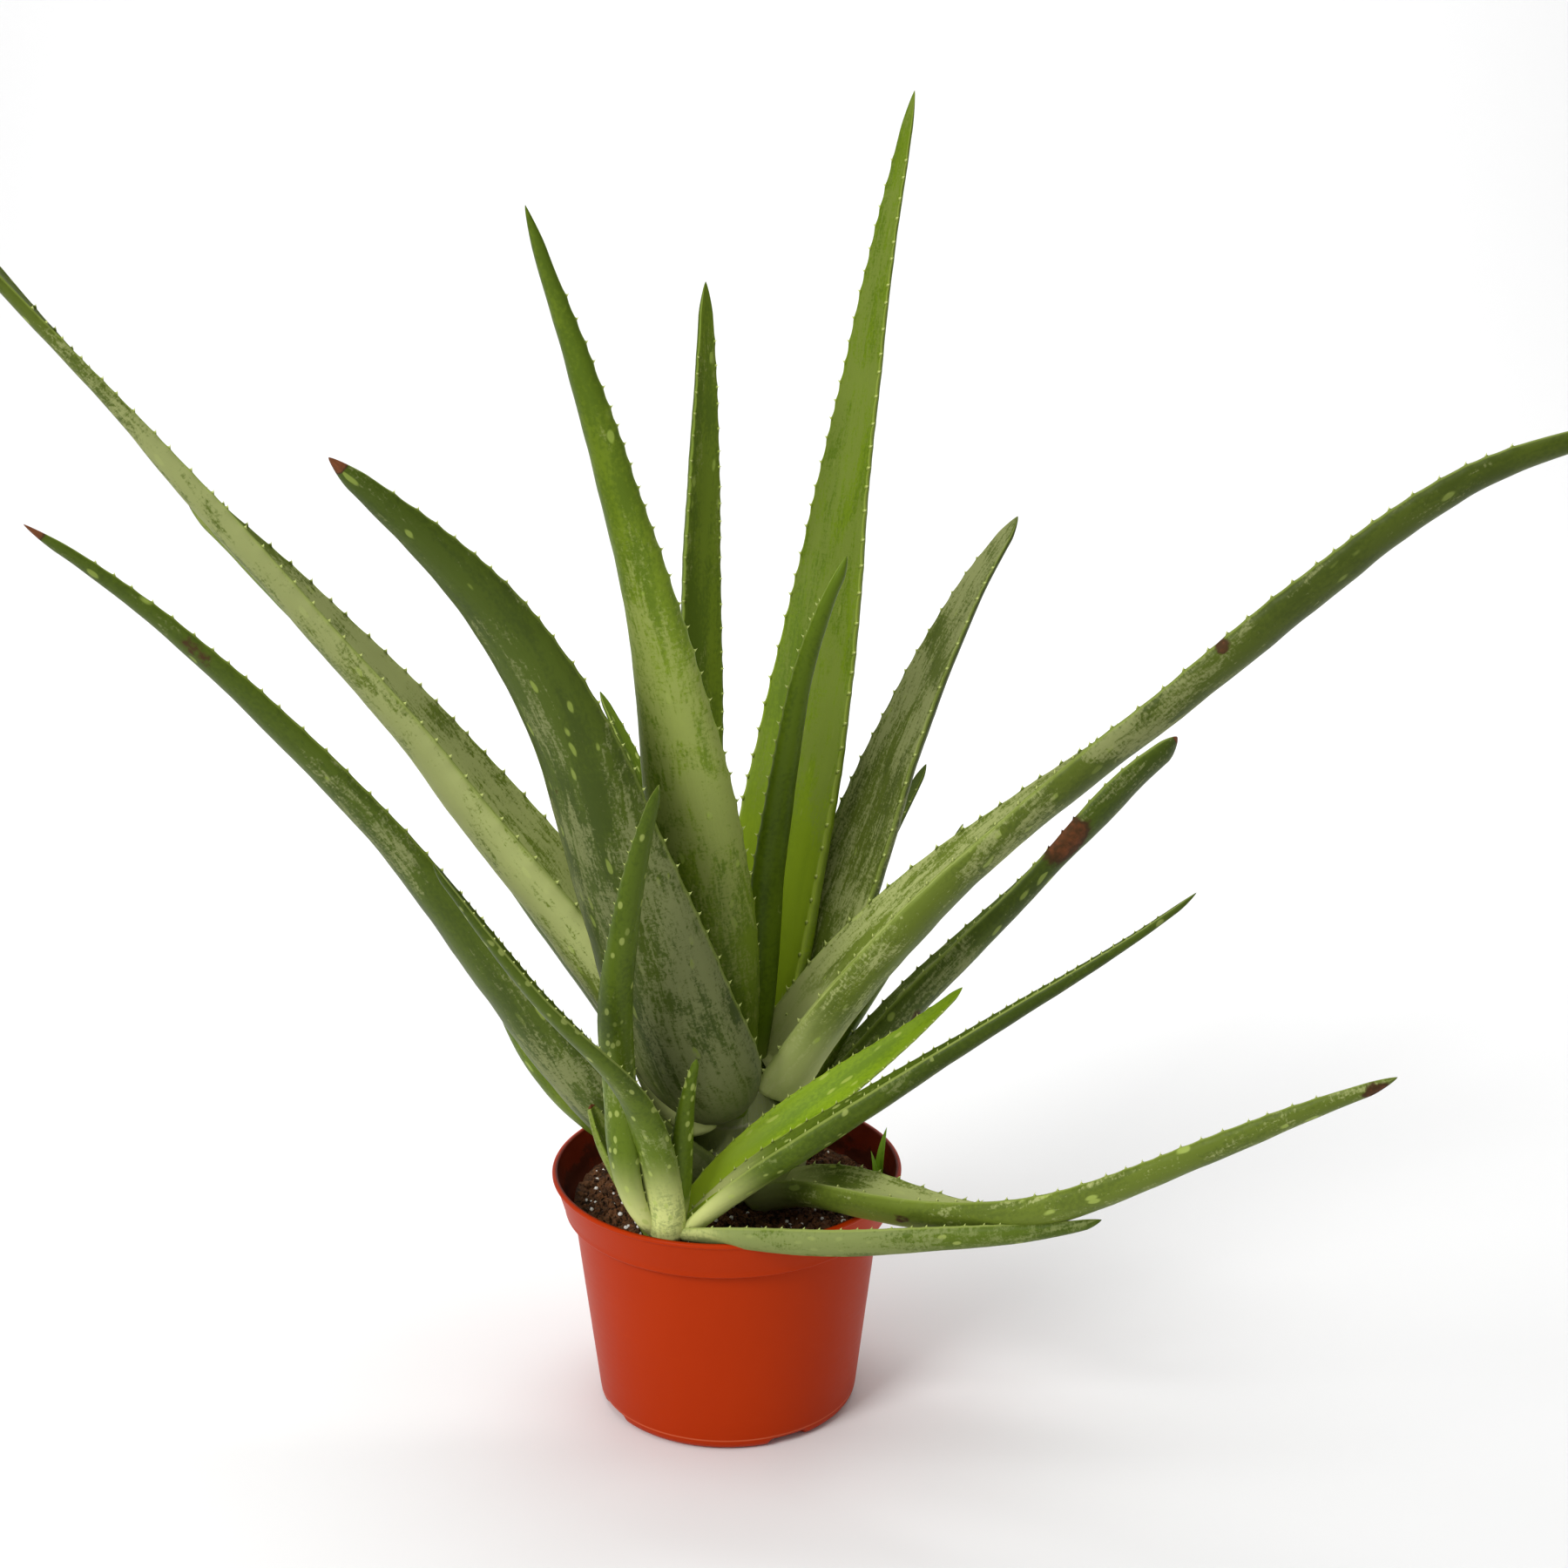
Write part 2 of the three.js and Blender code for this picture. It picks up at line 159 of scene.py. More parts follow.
def smooth_step(value, low, high):
    """0 below low and 1 above high, with 3t^2 - 2t^3 between."""
    t = np.clip((value - low) / (high - low), 0, 1)
    return t * t * (3 - 2 * t)


def ripple(random, distance, longest, count=4):
    """Sum of sines of distance. Each is half as long and half as high as the one before it."""
    total = np.zeros_like(distance)
    for k in range(count):
        total += 0.5 ** k * np.sin(2 * np.pi * 2 ** k * distance / longest + random.uniform(0, 6.28))
    return total / 2


def lattice_noise(random, x, y, cell):
    """Random heights from -1 to 1 on a square lattice of that cell size, blended smoothly between
    the four nearest corners."""
    table = random.uniform(-1, 1, (64, 64))
    column, row = np.floor(x / cell).astype(int), np.floor(y / cell).astype(int)
    s, t = x / cell - column, y / cell - row
    s, t = s * s * (3 - 2 * s), t * t * (3 - 2 * t)
    corner = [[table[(row + j) % 64, (column + i) % 64] for i in (0, 1)] for j in (0, 1)]
    low = corner[0][0] * (1 - s) + corner[0][1] * s
    high = corner[1][0] * (1 - s) + corner[1][1] * s
    return low * (1 - t) + high * t


# ---------------------------------------------------------------- materials

ORIGIN = (0, 0, 0)
LEAF_GREEN = (0.1, 0.15, 0.02, 1)


def plug(tree, made, sockets):
    """Fills a node's inputs: one given as a socket is linked, and one given as a value is set."""
    for name, value in sockets.items():
        if isinstance(value, bpy.types.NodeSocket):
            tree.links.new(value, made.inputs[name])
        else:
            made.inputs[name].default_value = value
    return made


def node(tree, kind, sockets, **settings):
    made = tree.nodes.new(kind)
    for name, value in settings.items():
        setattr(made, name, value)
    return plug(tree, made, sockets)


def calc(tree, operation, a, b=0.0):
    return node(tree, "ShaderNodeMath", {0: a, 1: b}, operation=operation).outputs[0]


def weighted(tree, total, *terms):
    """The first number plus each value times its weight."""
    for value, weight in terms:
        sockets = {0: value, 1: weight, 2: total}
        total = node(tree, "ShaderNodeMath", sockets, operation="MULTIPLY_ADD").outputs[0]
    return total


def stretch(tree, vector, factors):
    """The vector with each of its parts multiplied."""
    return node(tree, "ShaderNodeVectorMath", {0: vector, 1: factors}, operation="MULTIPLY").outputs[0]


def step(tree, value, low, high, bottom=0.0, top=1.0):
    """Smooth step from bottom at low to top at high."""
    sockets = {"Value": value, "From Min": low, "From Max": high, "To Min": bottom, "To Max": top}
    return node(tree, "ShaderNodeMapRange", sockets, interpolation_type="SMOOTHSTEP").outputs[0]


def mix(tree, mask, a, b):
    return node(tree, "ShaderNodeMix", {0: mask, 6: a, 7: b}, data_type="RGBA").outputs[2]


def noise(tree, vector, factors, detail=4.0, roughness=0.55, distortion=0.0):
    """Cloudy values with that many cells to a metre along each part of the vector."""
    sockets = {"Vector": stretch(tree, vector, factors), "Scale": 1.0, "Detail": detail,
               "Roughness": roughness, "Distortion": distortion}
    return node(tree, "ShaderNodeTexNoise", sockets).outputs[0]


def bumped(tree, height, strength, distance):
    sockets = {"Height": height, "Strength": strength, "Distance": distance}
    return node(tree, "ShaderNodeBump", sockets).outputs[0]


def split(tree, vector):
    return node(tree, "ShaderNodeSeparateXYZ", {0: vector}).outputs


def attribute(tree, name, output="Vector"):
    return node(tree, "ShaderNodeAttribute", {}, attribute_name=name).outputs[output]


def object_place(tree):
    return node(tree, "ShaderNodeTexCoord", {}).outputs["Object"]


def group_tree(name, inputs):
    """A shader node group, then its inputs' sockets in their order. Each input's kind follows from
    its value: one number, three for a vector or four for a colour."""
    tree = bpy.data.node_groups.new(name, "ShaderNodeTree")
    for label, value in inputs.items():
        kind = {1: "Float", 3: "Vector", 4: "Color"}[np.size(value)]
        socket = tree.interface.new_socket(label, in_out="INPUT", socket_type="NodeSocket" + kind)
        socket.default_value = value
    return tree, *tree.nodes.new("NodeGroupInput").outputs[:len(inputs)]


def finish_group(tree, results):
    """Puts out a colour under the name Color, and numbers under other names."""
    for label in results:
        kind = "Color" if label == "Color" else "Float"
        tree.interface.new_socket(label, in_out="OUTPUT", socket_type="NodeSocket" + kind)
    plug(tree, tree.nodes.new("NodeGroupOutput"), results)
    return tree


def place_group(tree, group, sockets):
    return node(tree, "ShaderNodeGroup", sockets, node_tree=GROUPS[group]).outputs


def growth_colour_group():
    """Colour of the flesh from foot to tip: pale foot, full green body and darker tip, broken up by
    long soft stripes and by small patches of deeper green."""
    tree, place, share, foot, body, deep, reach, patchiness = group_tree("growth_colour", {
        "Place": ORIGIN, "Share": ORIGIN, "Foot": LEAF_GREEN, "Body": LEAF_GREEN, "Deep": LEAF_GREEN,
        "Foot Reach": 0.12, "Patchiness": 0.5})
    along_leaf = split(tree, share)[0]
    stripes = noise(tree, place, (12, 160, 60), 3.0)
    patches = noise(tree, place, (28, 60, 60), 5.0, 0.6)
    speckle = noise(tree, place, (500, 900, 300), 2.0)
    tone = weighted(tree, -0.175, (stripes, 0.5), (patches, 0.5), (speckle, 0.35))
    patchy = calc(tree, "MULTIPLY", step(tree, tone, 0.42, 0.62), patchiness)
    tip = step(tree, along_leaf, 0.5, 1.0, 0.0, 0.25)
    colour = mix(tree, calc(tree, "MAXIMUM", patchy, tip), body, deep)
    ragged = weighted(tree, -0.04, (along_leaf, 1.0), (stripes, 0.08))
    rise = calc(tree, "DIVIDE", ragged, reach)
    colour = mix(tree, step(tree, rise, 0.25, 1.0, 1.0, 0.0), colour, foot)
    return finish_group(tree, {"Color": colour, "Tone": tone})


def wax_bloom_group():
    """Grey waxy bloom. It is rubbed off in large patches, in crisp streaks along the leaf and in fine
    scratches across it, and Amount lifts that pattern above the level at which the bloom holds."""
    tree, flesh, bloom, amount, place = group_tree("wax_bloom", {
        "Color": LEAF_GREEN, "Bloom": LEAF_GREEN, "Amount": 0.5, "Place": ORIGIN})
    patches = noise(tree, place, (18, 38, 40), 5.0, 0.62, 0.8)
    streaks = noise(tree, place, (34, 330, 200), 4.0, 0.6, 1.2)
    rubs = noise(tree, place, (260, 520, 200), 3.0, 0.65, 2.0)
    scratches = noise(tree, place, (1500, 70, 200), 2.0, 0.5, 0.4)
    grain = noise(tree, place, (650, 900, 300), 3.0, 0.6)
    held = weighted(tree, 0.0, (patches, 1.0), (streaks, 0.6), (rubs, 0.35), (scratches, 0.15),
                    (grain, 0.40), (amount, 0.9))
    mask = step(tree, held, 1.59, 1.81)
    film = calc(tree, "MULTIPLY", amount, 0.18)
    cover = calc(tree, "MAXIMUM", film, calc(tree, "MULTIPLY", mask, 0.85))
    return finish_group(tree, {"Color": mix(tree, cover, flesh, bloom), "Mask": mask})


def pale_flecks_group():
    """Pale flecks drawn out along the leaf, one to a cell of a random pattern, in some cells only.
    Length and Width are a cell's size in millimetres."""
    tree, flesh, fleck, amount, length, width, place = group_tree("pale_flecks", {
        "Color": LEAF_GREEN, "Fleck": LEAF_GREEN, "Amount": 0.3, "Length": 12.0, "Width": 4.5,
        "Place": ORIGIN})
    size = node(tree, "ShaderNodeCombineXYZ", {
        0: calc(tree, "DIVIDE", 1 / MM, length), 1: calc(tree, "DIVIDE", 1 / MM, width),
        2: 300.0}).outputs[0]
    bent = noise(tree, place, (60, 60, 60), 2.0)
    cells = node(tree, "ShaderNodeVectorMath", {
        0: stretch(tree, place, size), 1: bent}, operation="ADD").outputs[0]
    pattern = node(tree, "ShaderNodeTexVoronoi", {"Vector": cells, "Scale": 1.0}).outputs
    spot = step(tree, pattern["Distance"], 0.22, 0.36, 0.75, 0.0)
    chance = calc(tree, "ADD", split(tree, pattern["Color"])[0], amount)
    mask = calc(tree, "MULTIPLY", spot, step(tree, chance, 0.98, 1.02))
    return finish_group(tree, {"Color": mix(tree, mask, flesh, fleck)})


def margin_group():
    """Thin pale line along both margins, and the paler horny teeth on it."""
    tree, skin, line, point, share, tooth = group_tree("margin_line", {
        "Color": LEAF_GREEN, "Line": LEAF_GREEN, "Point": (0.55, 0.62, 0.20, 1), "Share": ORIGIN,
        "Tooth": 0.0})
    edge = calc(tree, "ABSOLUTE", split(tree, share)[1])
    colour = mix(tree, step(tree, edge, 0.955, 0.995, 0.0, 0.45), skin, line)
    colour = mix(tree, step(tree, tooth, 0.05, 0.5), colour, point)
    return finish_group(tree, {"Color": colour})


def withering_group():
    """Brown, dried skin where the mask is high, with a dark ragged rim round it."""
    tree, skin, dry_tint, rim_tint, dried, place = group_tree("withering", {
        "Color": LEAF_GREEN, "Dry": (0.22, 0.065, 0.022, 1), "Rim": (0.06, 0.03, 0.01, 1), "Mask": 0.0,
        "Place": ORIGIN})
    ragged = noise(tree, place, (300, 500, 300), 3.0)
    mask = weighted(tree, -0.25, (dried, 1.0), (ragged, 0.5))
    rim = step(tree, mask, 0.25, 0.45)
    colour = mix(tree, rim, skin, rim_tint)
    dry = mix(tree, ragged, rim_tint, dry_tint)
    return finish_group(tree, {"Color": mix(tree, step(tree, mask, 0.45, 0.7), colour, dry), "Mask": rim})


def skin_relief_group():
    """Height of the skin: long shallow grooves, a fine pebble and the dry skin's wrinkles."""
    tree, place, groove_depth, wrinkle_depth = group_tree("skin_relief", {
        "Place": ORIGIN, "Grooves": 0.5, "Dry": 0.0})
    grooves = noise(tree, place, (14, 420, 100), 3.0)
    pebble = noise(tree, place, (1100, 1600, 800), 2.0)
    wrinkles = noise(tree, place, (900, 300, 300), 3.0)
    height = weighted(tree, 0.0, (grooves, groove_depth), (pebble, 0.22), (wrinkles, wrinkle_depth))
    return finish_group(tree, {"Height": height})


GROUPS = {
    "growth": growth_colour_group(), "bloom": wax_bloom_group(), "flecks": pale_flecks_group(),
    "margin": margin_group(), "withering": withering_group(), "relief": skin_relief_group(),
}

# Foot, body and deep green of the flesh, the waxy bloom, the margin line, the cell size of the
# flecks along and across, and the share of the length that the pale foot reaches.
SKINS = {
    "green": dict(foot=(0.20, 0.29, 0.02), body=(0.135, 0.20, 0.008), deep=(0.055, 0.10, 0.002),
                  bloom=(0.24, 0.28, 0.07), line=(0.30, 0.40, 0.06), fleck=(9, 3), reach=0.14),
    "grey": dict(foot=(0.30, 0.34, 0.11), body=(0.095, 0.135, 0.008), deep=(0.045, 0.072, 0.002),
                 bloom=(0.33, 0.36, 0.135), line=(0.30, 0.38, 0.07), fleck=(10, 3), reach=0.14),
    "dark": dict(foot=(0.14, 0.18, 0.035), body=(0.062, 0.098, 0.003), deep=(0.030, 0.053, 0.001),
                 bloom=(0.235, 0.26, 0.10), line=(0.28, 0.36, 0.06), fleck=(10, 3), reach=0.14),
    "bright": dict(foot=(0.36, 0.50, 0.02), body=(0.23, 0.36, 0.006), deep=(0.11, 0.20, 0.003),
                   bloom=(0.27, 0.36, 0.05), line=(0.42, 0.52, 0.08), fleck=(9, 2.6), reach=0.45),
    "spotted": dict(foot=(0.58, 0.62, 0.22), body=(0.105, 0.165, 0.005), deep=(0.045, 0.08, 0.001),
                    bloom=(0.27, 0.32, 0.10), line=(0.42, 0.50, 0.12), fleck=(6, 2.2), reach=0.22),
}


def opaque(colour):
    return (*colour, 1)


def new_material(name):
    material = bpy.data.materials.new(name)
    material.use_nodes = True
    tree = material.node_tree
    return material, tree, tree.nodes["Principled BSDF"]


def leaf_material(name, skin):
    """Leaf skin, from the flesh outwards: flecks, bloom, tone (which is partly painted light), margin and
    teeth, then dried places.
    """
    material, tree, surface = new_material(name)
    place, share = attribute(tree, "place"), attribute(tree, "share")
    waxy, flecked, dried = split(tree, attribute(tree, "state"))
    growth = place_group(tree, "growth", {
        "Place": place, "Share": share, "Foot": opaque(skin["foot"]), "Body": opaque(skin["body"]),
        "Deep": opaque(skin["deep"]), "Foot Reach": skin["reach"], "Patchiness": 0.7})
    flecks = place_group(tree, "flecks", {
        "Color": growth["Color"], "Fleck": opaque(skin["line"]), "Amount": flecked,
        "Length": skin["fleck"][0], "Width": skin["fleck"][1], "Place": place})
    bloom = place_group(tree, "bloom", {
        "Color": flecks["Color"], "Bloom": opaque(skin["bloom"]), "Amount": waxy, "Place": place})
    # Tone scales the colour. It is partly the leaf's own shade of green and partly painted light: lighter
    # where the leaf lies in shade, darker where it lies in full light.
    tone_and_painted_light = node(tree, "ShaderNodeVectorMath", {
        0: bloom["Color"], "Scale": attribute(tree, "tone", "Fac")}, operation="SCALE").outputs[0]
    margin = place_group(tree, "margin", {
        "Color": tone_and_painted_light, "Line": opaque(skin["line"]), "Share": share,
        "Tooth": attribute(tree, "tooth", "Fac")})
    dry = place_group(tree, "withering", {"Color": margin["Color"], "Mask": dried, "Place": place})
    relief = place_group(tree, "relief", {"Place": place, "Grooves": 0.6, "Dry": dry["Mask"]})
    rough = weighted(tree, 0.40, (bloom["Mask"], 0.16), (growth["Tone"], 0.08), (dry["Mask"], 0.2))
    plug(tree, surface, {
        "Base Color": dry["Color"], "Roughness": rough, "Specular IOR Level": 0.12,
        "Normal": bumped(tree, relief["Height"], 0.35, 0.0006)})
    return material


LEAF_MATERIALS = {name: leaf_material("aloe_skin_" + name, skin) for name, skin in SKINS.items()}

# ---------------------------------------------------------------- leaves

# The leaves of the frame, from the middle of the rosette outwards, in millimetres and degrees. foot:
# where the leaf leaves the stem. bearing: degrees in plan from +X towards +Y. rise: degrees above
# level. width: flat width. fold: angle that each half curls up by. roll: turn about the leaf's own
# length. The lists give values at equal steps from foot to tip. thick: thickness where it is widest.
LEAVES = {
    "young": dict(foot=(6, 8, 142), length=245, thick=7, skin="dark",
        bearing=(-35, -30, -25, -15, -10), rise=(78, 85, 81, 78, 60), width=(18, 19, 18, 15, 12, 5),
        fold=(80, 70, 65, 60, 60), roll=0),
    "front_tall": dict(foot=(-4, 0, 136), length=410, thick=12, skin="green",
        bearing=(262, 257, 238, 226, 215), rise=(85, 72, 74, 70, 68), width=(36, 44, 40, 25, 15, 4),
        fold=(70, 45, 40, 45, 45), roll=0),
    "tall_right": dict(foot=(12, 14, 140), length=435, thick=11, skin="bright",
        bearing=(61, 60, 57, 50, 46), rise=(83, 70, 73, 76, 70), width=(38, 48, 41, 27, 15, 4),
        fold=(85, 50, 22, 20, 20, 25), roll=0),
    "back_upright": dict(foot=(-5, 18, 140), length=350, thick=9, skin="green",
        bearing=(100, 100, 101, 105, 111), rise=(74, 77, 92, 98, 86), width=(22, 20, 18, 17, 12, 4),
        fold=(60, 40, 35, 35, 35), roll=0),
    "inner_left_small": dict(foot=(-10, 18, 132), length=190, thick=5, skin="spotted",
        bearing=(135, 135, 135, 135), rise=(100, 74, 62, 48), width=(18, 16, 14, 10, 3),
        fold=(60, 45, 40, 35), roll=0),
    "right_wide": dict(foot=(18, 4, 138), length=275, thick=10, skin="grey",
        bearing=(35, 31, 33, 30, 29), rise=(70, 66, 65, 60, 48), width=(44, 48, 44, 33, 22, 7),
        fold=(70, 30, 18, 15, 15), roll=(-5, -5, 0, 0, 0)),
    "back_right_small": dict(foot=(14, 20, 130), length=180, thick=6, skin="dark",
        bearing=(56, 53, 52, 50, 50), rise=(84, 47, 35, 40, 43), width=(18, 17, 15, 12, 9, 3),
        fold=(60, 40, 35, 30, 30), roll=0),
    "far_right": dict(foot=(18, -6, 155), length=440, thick=12, skin="grey",
        bearing=(-15, -13, -11, -10, -10, -8, -8), rise=(61, 51, 42, 41, 42, 36, 9),
        width=(50, 48, 36, 28, 24, 20, 11), fold=(80, 60, 50, 50, 45, 40, 40),
        roll=(-20, -12, -2, 14, 28, 30, 30)),
    "far_left": dict(foot=(-12, 4, 132), length=470, thick=12, skin="grey",
        bearing=(190, 193, 195, 195, 193, 191), rise=(73, 56, 54, 50, 51, 52),
        width=(60, 58, 50, 36, 26, 12, 12), fold=(85, 70, 60, 50, 40),
        roll=(12, 14, 16, 8, -14, 10)),
    "front_left": dict(foot=(-2, -13, 139), length=355, thick=13, skin="dark",
        bearing=(238, 230, 217, 212, 210), rise=(56, 66, 71, 52, 41), width=(78, 74, 60, 42, 26, 8),
        fold=(85, 54, 38, 34, 36), roll=(0, 0, -8, -20, -30, -30)),
    "under_far_left": dict(foot=(-14, 14, 126), length=345, thick=9, skin="green",
        bearing=(172, 170, 168, 168, 168), rise=(57, 55, 53, 45, 40), width=(30, 26, 24, 21, 17, 8),
        fold=(75, 50, 40, 35, 30), roll=(-30, -40)),
    "right_inner": dict(foot=(20, 16, 120), length=160, thick=5, skin="green",
        bearing=(38, 38, 36, 36, 36), rise=(40, 44, 47, 52, 57), width=(20, 17, 14, 10, 3),
        fold=(70, 45, 35, 30), roll=20),
    "right_scarred": dict(foot=(20, 8, 118), length=250, thick=9, skin="dark",
        bearing=(18, 18, 15, 14, 14), rise=(41, 45, 40, 47, 30), width=(32, 30, 28, 24, 20, 25, 16),
        fold=(80, 65, 55, 45, 30), roll=(15, 20, 22, 30, 35)),
    "low_left": dict(foot=(-12, -6, 112), length=395, thick=12, skin="dark",
        bearing=(202, 198, 196, 195, 195, 195), rise=(41, 53, 56, 51, 45, 35),
        width=(64, 56, 42, 29, 22, 14, 6), fold=(80, 60, 50, 45, 40), roll=(0, -5, -15, -20, -20)),
    "behind_low_left": dict(foot=(-16, 4, 104), length=145, thick=6, skin="green",
        bearing=(176, 176, 176, 176), rise=(23, 38, 63, 87), width=(24, 22, 20, 14, 3),
        fold=(70, 50, 40, 40), roll=-30),
    "low_right": dict(foot=(16, -12, 102), length=300, thick=8, skin="grey",
        bearing=(-44, -42, -32, -20, -14, -12), rise=(33, 7, 13, 30, 30, 24),
        width=(28, 31, 25, 17, 14, 6), fold=(70, 60, 50, 45, 40), roll=(0, 5, 25, 40, 40, 40)),
    "pup_small": dict(foot=(-21, -58, 108), length=85, thick=3, skin="spotted",
        bearing=(-60, -60, -50), rise=(77, 79, 67), width=(11, 12, 10, 7, 3), fold=(70, 60, 50),
        roll=0),
    "pup_upright": dict(foot=(-27, -56, 105), length=230, thick=5, skin="spotted",
        bearing=(222, 240, 277, 300, 315), rise=(50, 85, 65, 71, 64), width=(10, 17, 15, 13, 10, 4),
        fold=(75, 65, 55, 50, 40), roll=(20, 20, 10, 0, 0)),
    "pup_right_upper": dict(foot=(-19, -55, 107), length=155, thick=4, skin="bright",
        bearing=(13, 13, 14, 14), rise=(52, 36, 33, 41), width=(13, 17, 18, 15, 9, 3),
        fold=(50, 35, 25, 20), roll=(-20, -38, -38, -25)),
    "pup_right_long": dict(foot=(-19, -58, 105), length=260, thick=6, skin="spotted",
        bearing=(-7, -6, -6, -6, -6), rise=(49, 36, 36, 35, 39), width=(12, 22, 19, 13, 8, 3),
        fold=(80, 70, 60, 55, 50), roll=(0, 5, 10, 12, 12)),
    "pup_left": dict(foot=(-23, -60, 106), length=225, thick=5, skin="spotted",
        bearing=(256, 246, 226, 210, 206), rise=(79, 64, 48, 55, 56), width=(17, 18, 15, 12, 9, 4),
        fold=(80, 60, 50, 45, 40), roll=(0, 10, 15, 15)),
    "pup_far_left": dict(foot=(-29, -56, 103), length=62, thick=4, skin="green",
        bearing=(165, 165, 165), rise=(70, 62, 66), width=(8, 13, 13, 11, 4), fold=(70, 50, 40),
        roll=(30, 20)),
    "pup_low": dict(foot=(-20, -60, 107), length=180, thick=6, skin="spotted",
        bearing=(-22, -18, -14, -14, -14), rise=(10, 4, 10, 11, 17), width=(8, 16, 17, 15, 11, 4),
        fold=(50, 40, 35, 35, 35), roll=(20, 40, 45, 45)),
}

INNER_SHARE = 0.15             # share of the thickness on the hollow side of the leaf's middle
MARGIN = 1.4                   # thickness of a leaf's margins where it is widest
TIP_START = 0.96               # share of the length where the tip starts to close
STATION_GAP = 1.7              # mm between the rings of a leaf
FACE_POINTS = 20               # points across each face of a leaf
TOOTH_SIDES = 6
TOOTH_SUNK = 0.35              # mm that a tooth's base lies inside the margin


def along(values, share):
    """Value at a share of the way along a list of values at equal steps, on a smooth curve through
    them all (Catmull-Rom), running straight on at both ends. A single number holds all the way."""
    if np.ndim(values) == 0:
        values = (values, values)
    values = np.asarray(values, float)
    last = len(values) - 1
    x = np.minimum(share * last, last - 1e-9)
    i = x.astype(int)
    t = x - i
    padded = np.concatenate([[2 * values[0] - values[1]], values, [2 * values[-1] - values[-2]]])
    a, b, c, d = padded[i], padded[i + 1], padded[i + 2], padded[i + 3]
    return b + 0.5 * t * (c - a + t * (2 * a - 5 * b + 4 * c - d + t * (3 * b - 3 * c + d - a)))


def direction(bearing, rise):
    """Unit vector (cos rise cos bearing, cos rise sin bearing, sin rise)."""
    bearing, rise = bearing * DEG, rise * DEG
    level = np.cos(rise)
    return np.stack([level * np.cos(bearing), level * np.sin(bearing), np.sin(rise)], axis=-1)


class LeafShape:
    """One leaf's surface as a function of the share of its length, the place across it from -1 to 1
    and a lift off its middle surface."""

    def __init__(self, leaf, random, foot_round=0.0):
        self.leaf = leaf
        self.foot_round = foot_round
        self.widest = max(leaf["width"])
        self.length = leaf["length"]
        fine = np.linspace(0, 1, 481)
        middle = (fine[1:] + fine[:-1]) / 2
        steps = direction(along(leaf["bearing"], middle), along(leaf["rise"], middle))
        steps = steps * self.length / len(middle)
        spine = np.concatenate([[leaf["foot"]], leaf["foot"] + np.cumsum(steps, axis=0)])
        sway = leaf["thick"] * 0.05 * smooth_step(fine, 0.0, 0.3)[:, None]
        wander = np.stack([ripple(random, fine * self.length, 170) for _ in range(3)], axis=-1)
        self.fine, self.spine = fine, spine + wander * sway

    def frame(self, share):
        """Middle line and the directions along, across and out of the leaf's inner face."""
        middle = np.stack([np.interp(share, self.fine, self.spine[:, k]) for k in range(3)], axis=-1)
        bearing, rise = along(self.leaf["bearing"], share), along(self.leaf["rise"], share)
        length, inward = direction(bearing, rise), direction(bearing, rise + 90)
        side = np.cross(length, inward)
        roll = along(self.leaf["roll"], share)[..., None] * DEG
        across = side * np.cos(roll) + inward * np.sin(roll)
        normal = inward * np.cos(roll) - side * np.sin(roll)
        return middle, length, across, normal

    def sizes(self, share):
        """Width, thickness and margin thickness, closed to nothing at the tip by the curve
        (1 - t^1.6)^0.7 of the way t along the tip. A clasping foot is rounded off by
        (1 - (1 - s)^2.2)^0.5 of the way s along it."""
        width = np.maximum(along(self.leaf["width"], share), 1.0)
        slim = (width / self.widest) ** 0.7
        t = np.clip((share - TIP_START) / (1 - TIP_START), 0, 1)
        closing = (1 - t ** 1.6) ** 0.7
        if self.foot_round:
            closing = closing * (1 - (1 - np.clip(share / self.foot_round, 0, 1)) ** 2.2) ** 0.5
        return width * closing, self.leaf["thick"] * slim * closing, MARGIN * slim * closing

    def place(self, share, v, lift, spread=0.0):
        """The section is an arc that turns by fold at each margin, with the middle line at half its
        depth: x = half sin(fold v) / fold - lift sin(fold v), and
        y = half ((1 + cos fold) / 2 - cos(fold v)) / fold + lift cos(fold v)."""
        middle, _, across, normal = self.frame(share)
        half = self.sizes(share)[0] / 2 + spread
        fold = along(self.leaf["fold"], share) * DEG
        x = half * np.sin(fold * v) / fold - lift * np.sin(fold * v)
        y = half * ((1 + np.cos(fold)) / 2 - np.cos(fold * v)) / fold + lift * np.cos(fold * v)
        return middle + across * x[..., None] + normal * y[..., None]


def teeth_places(random, length, spacing):
    """Distances from the foot to the teeth of one margin, closer together towards the tip."""
    places = [spacing * random.uniform(0.4, 1.0)]
    while places[-1] < length * 0.93:
        closeness = 1 - 0.35 * places[-1] / length
        places.append(places[-1] + spacing * closeness * random.uniform(0.75, 1.25))
    return np.array(places[:-1])


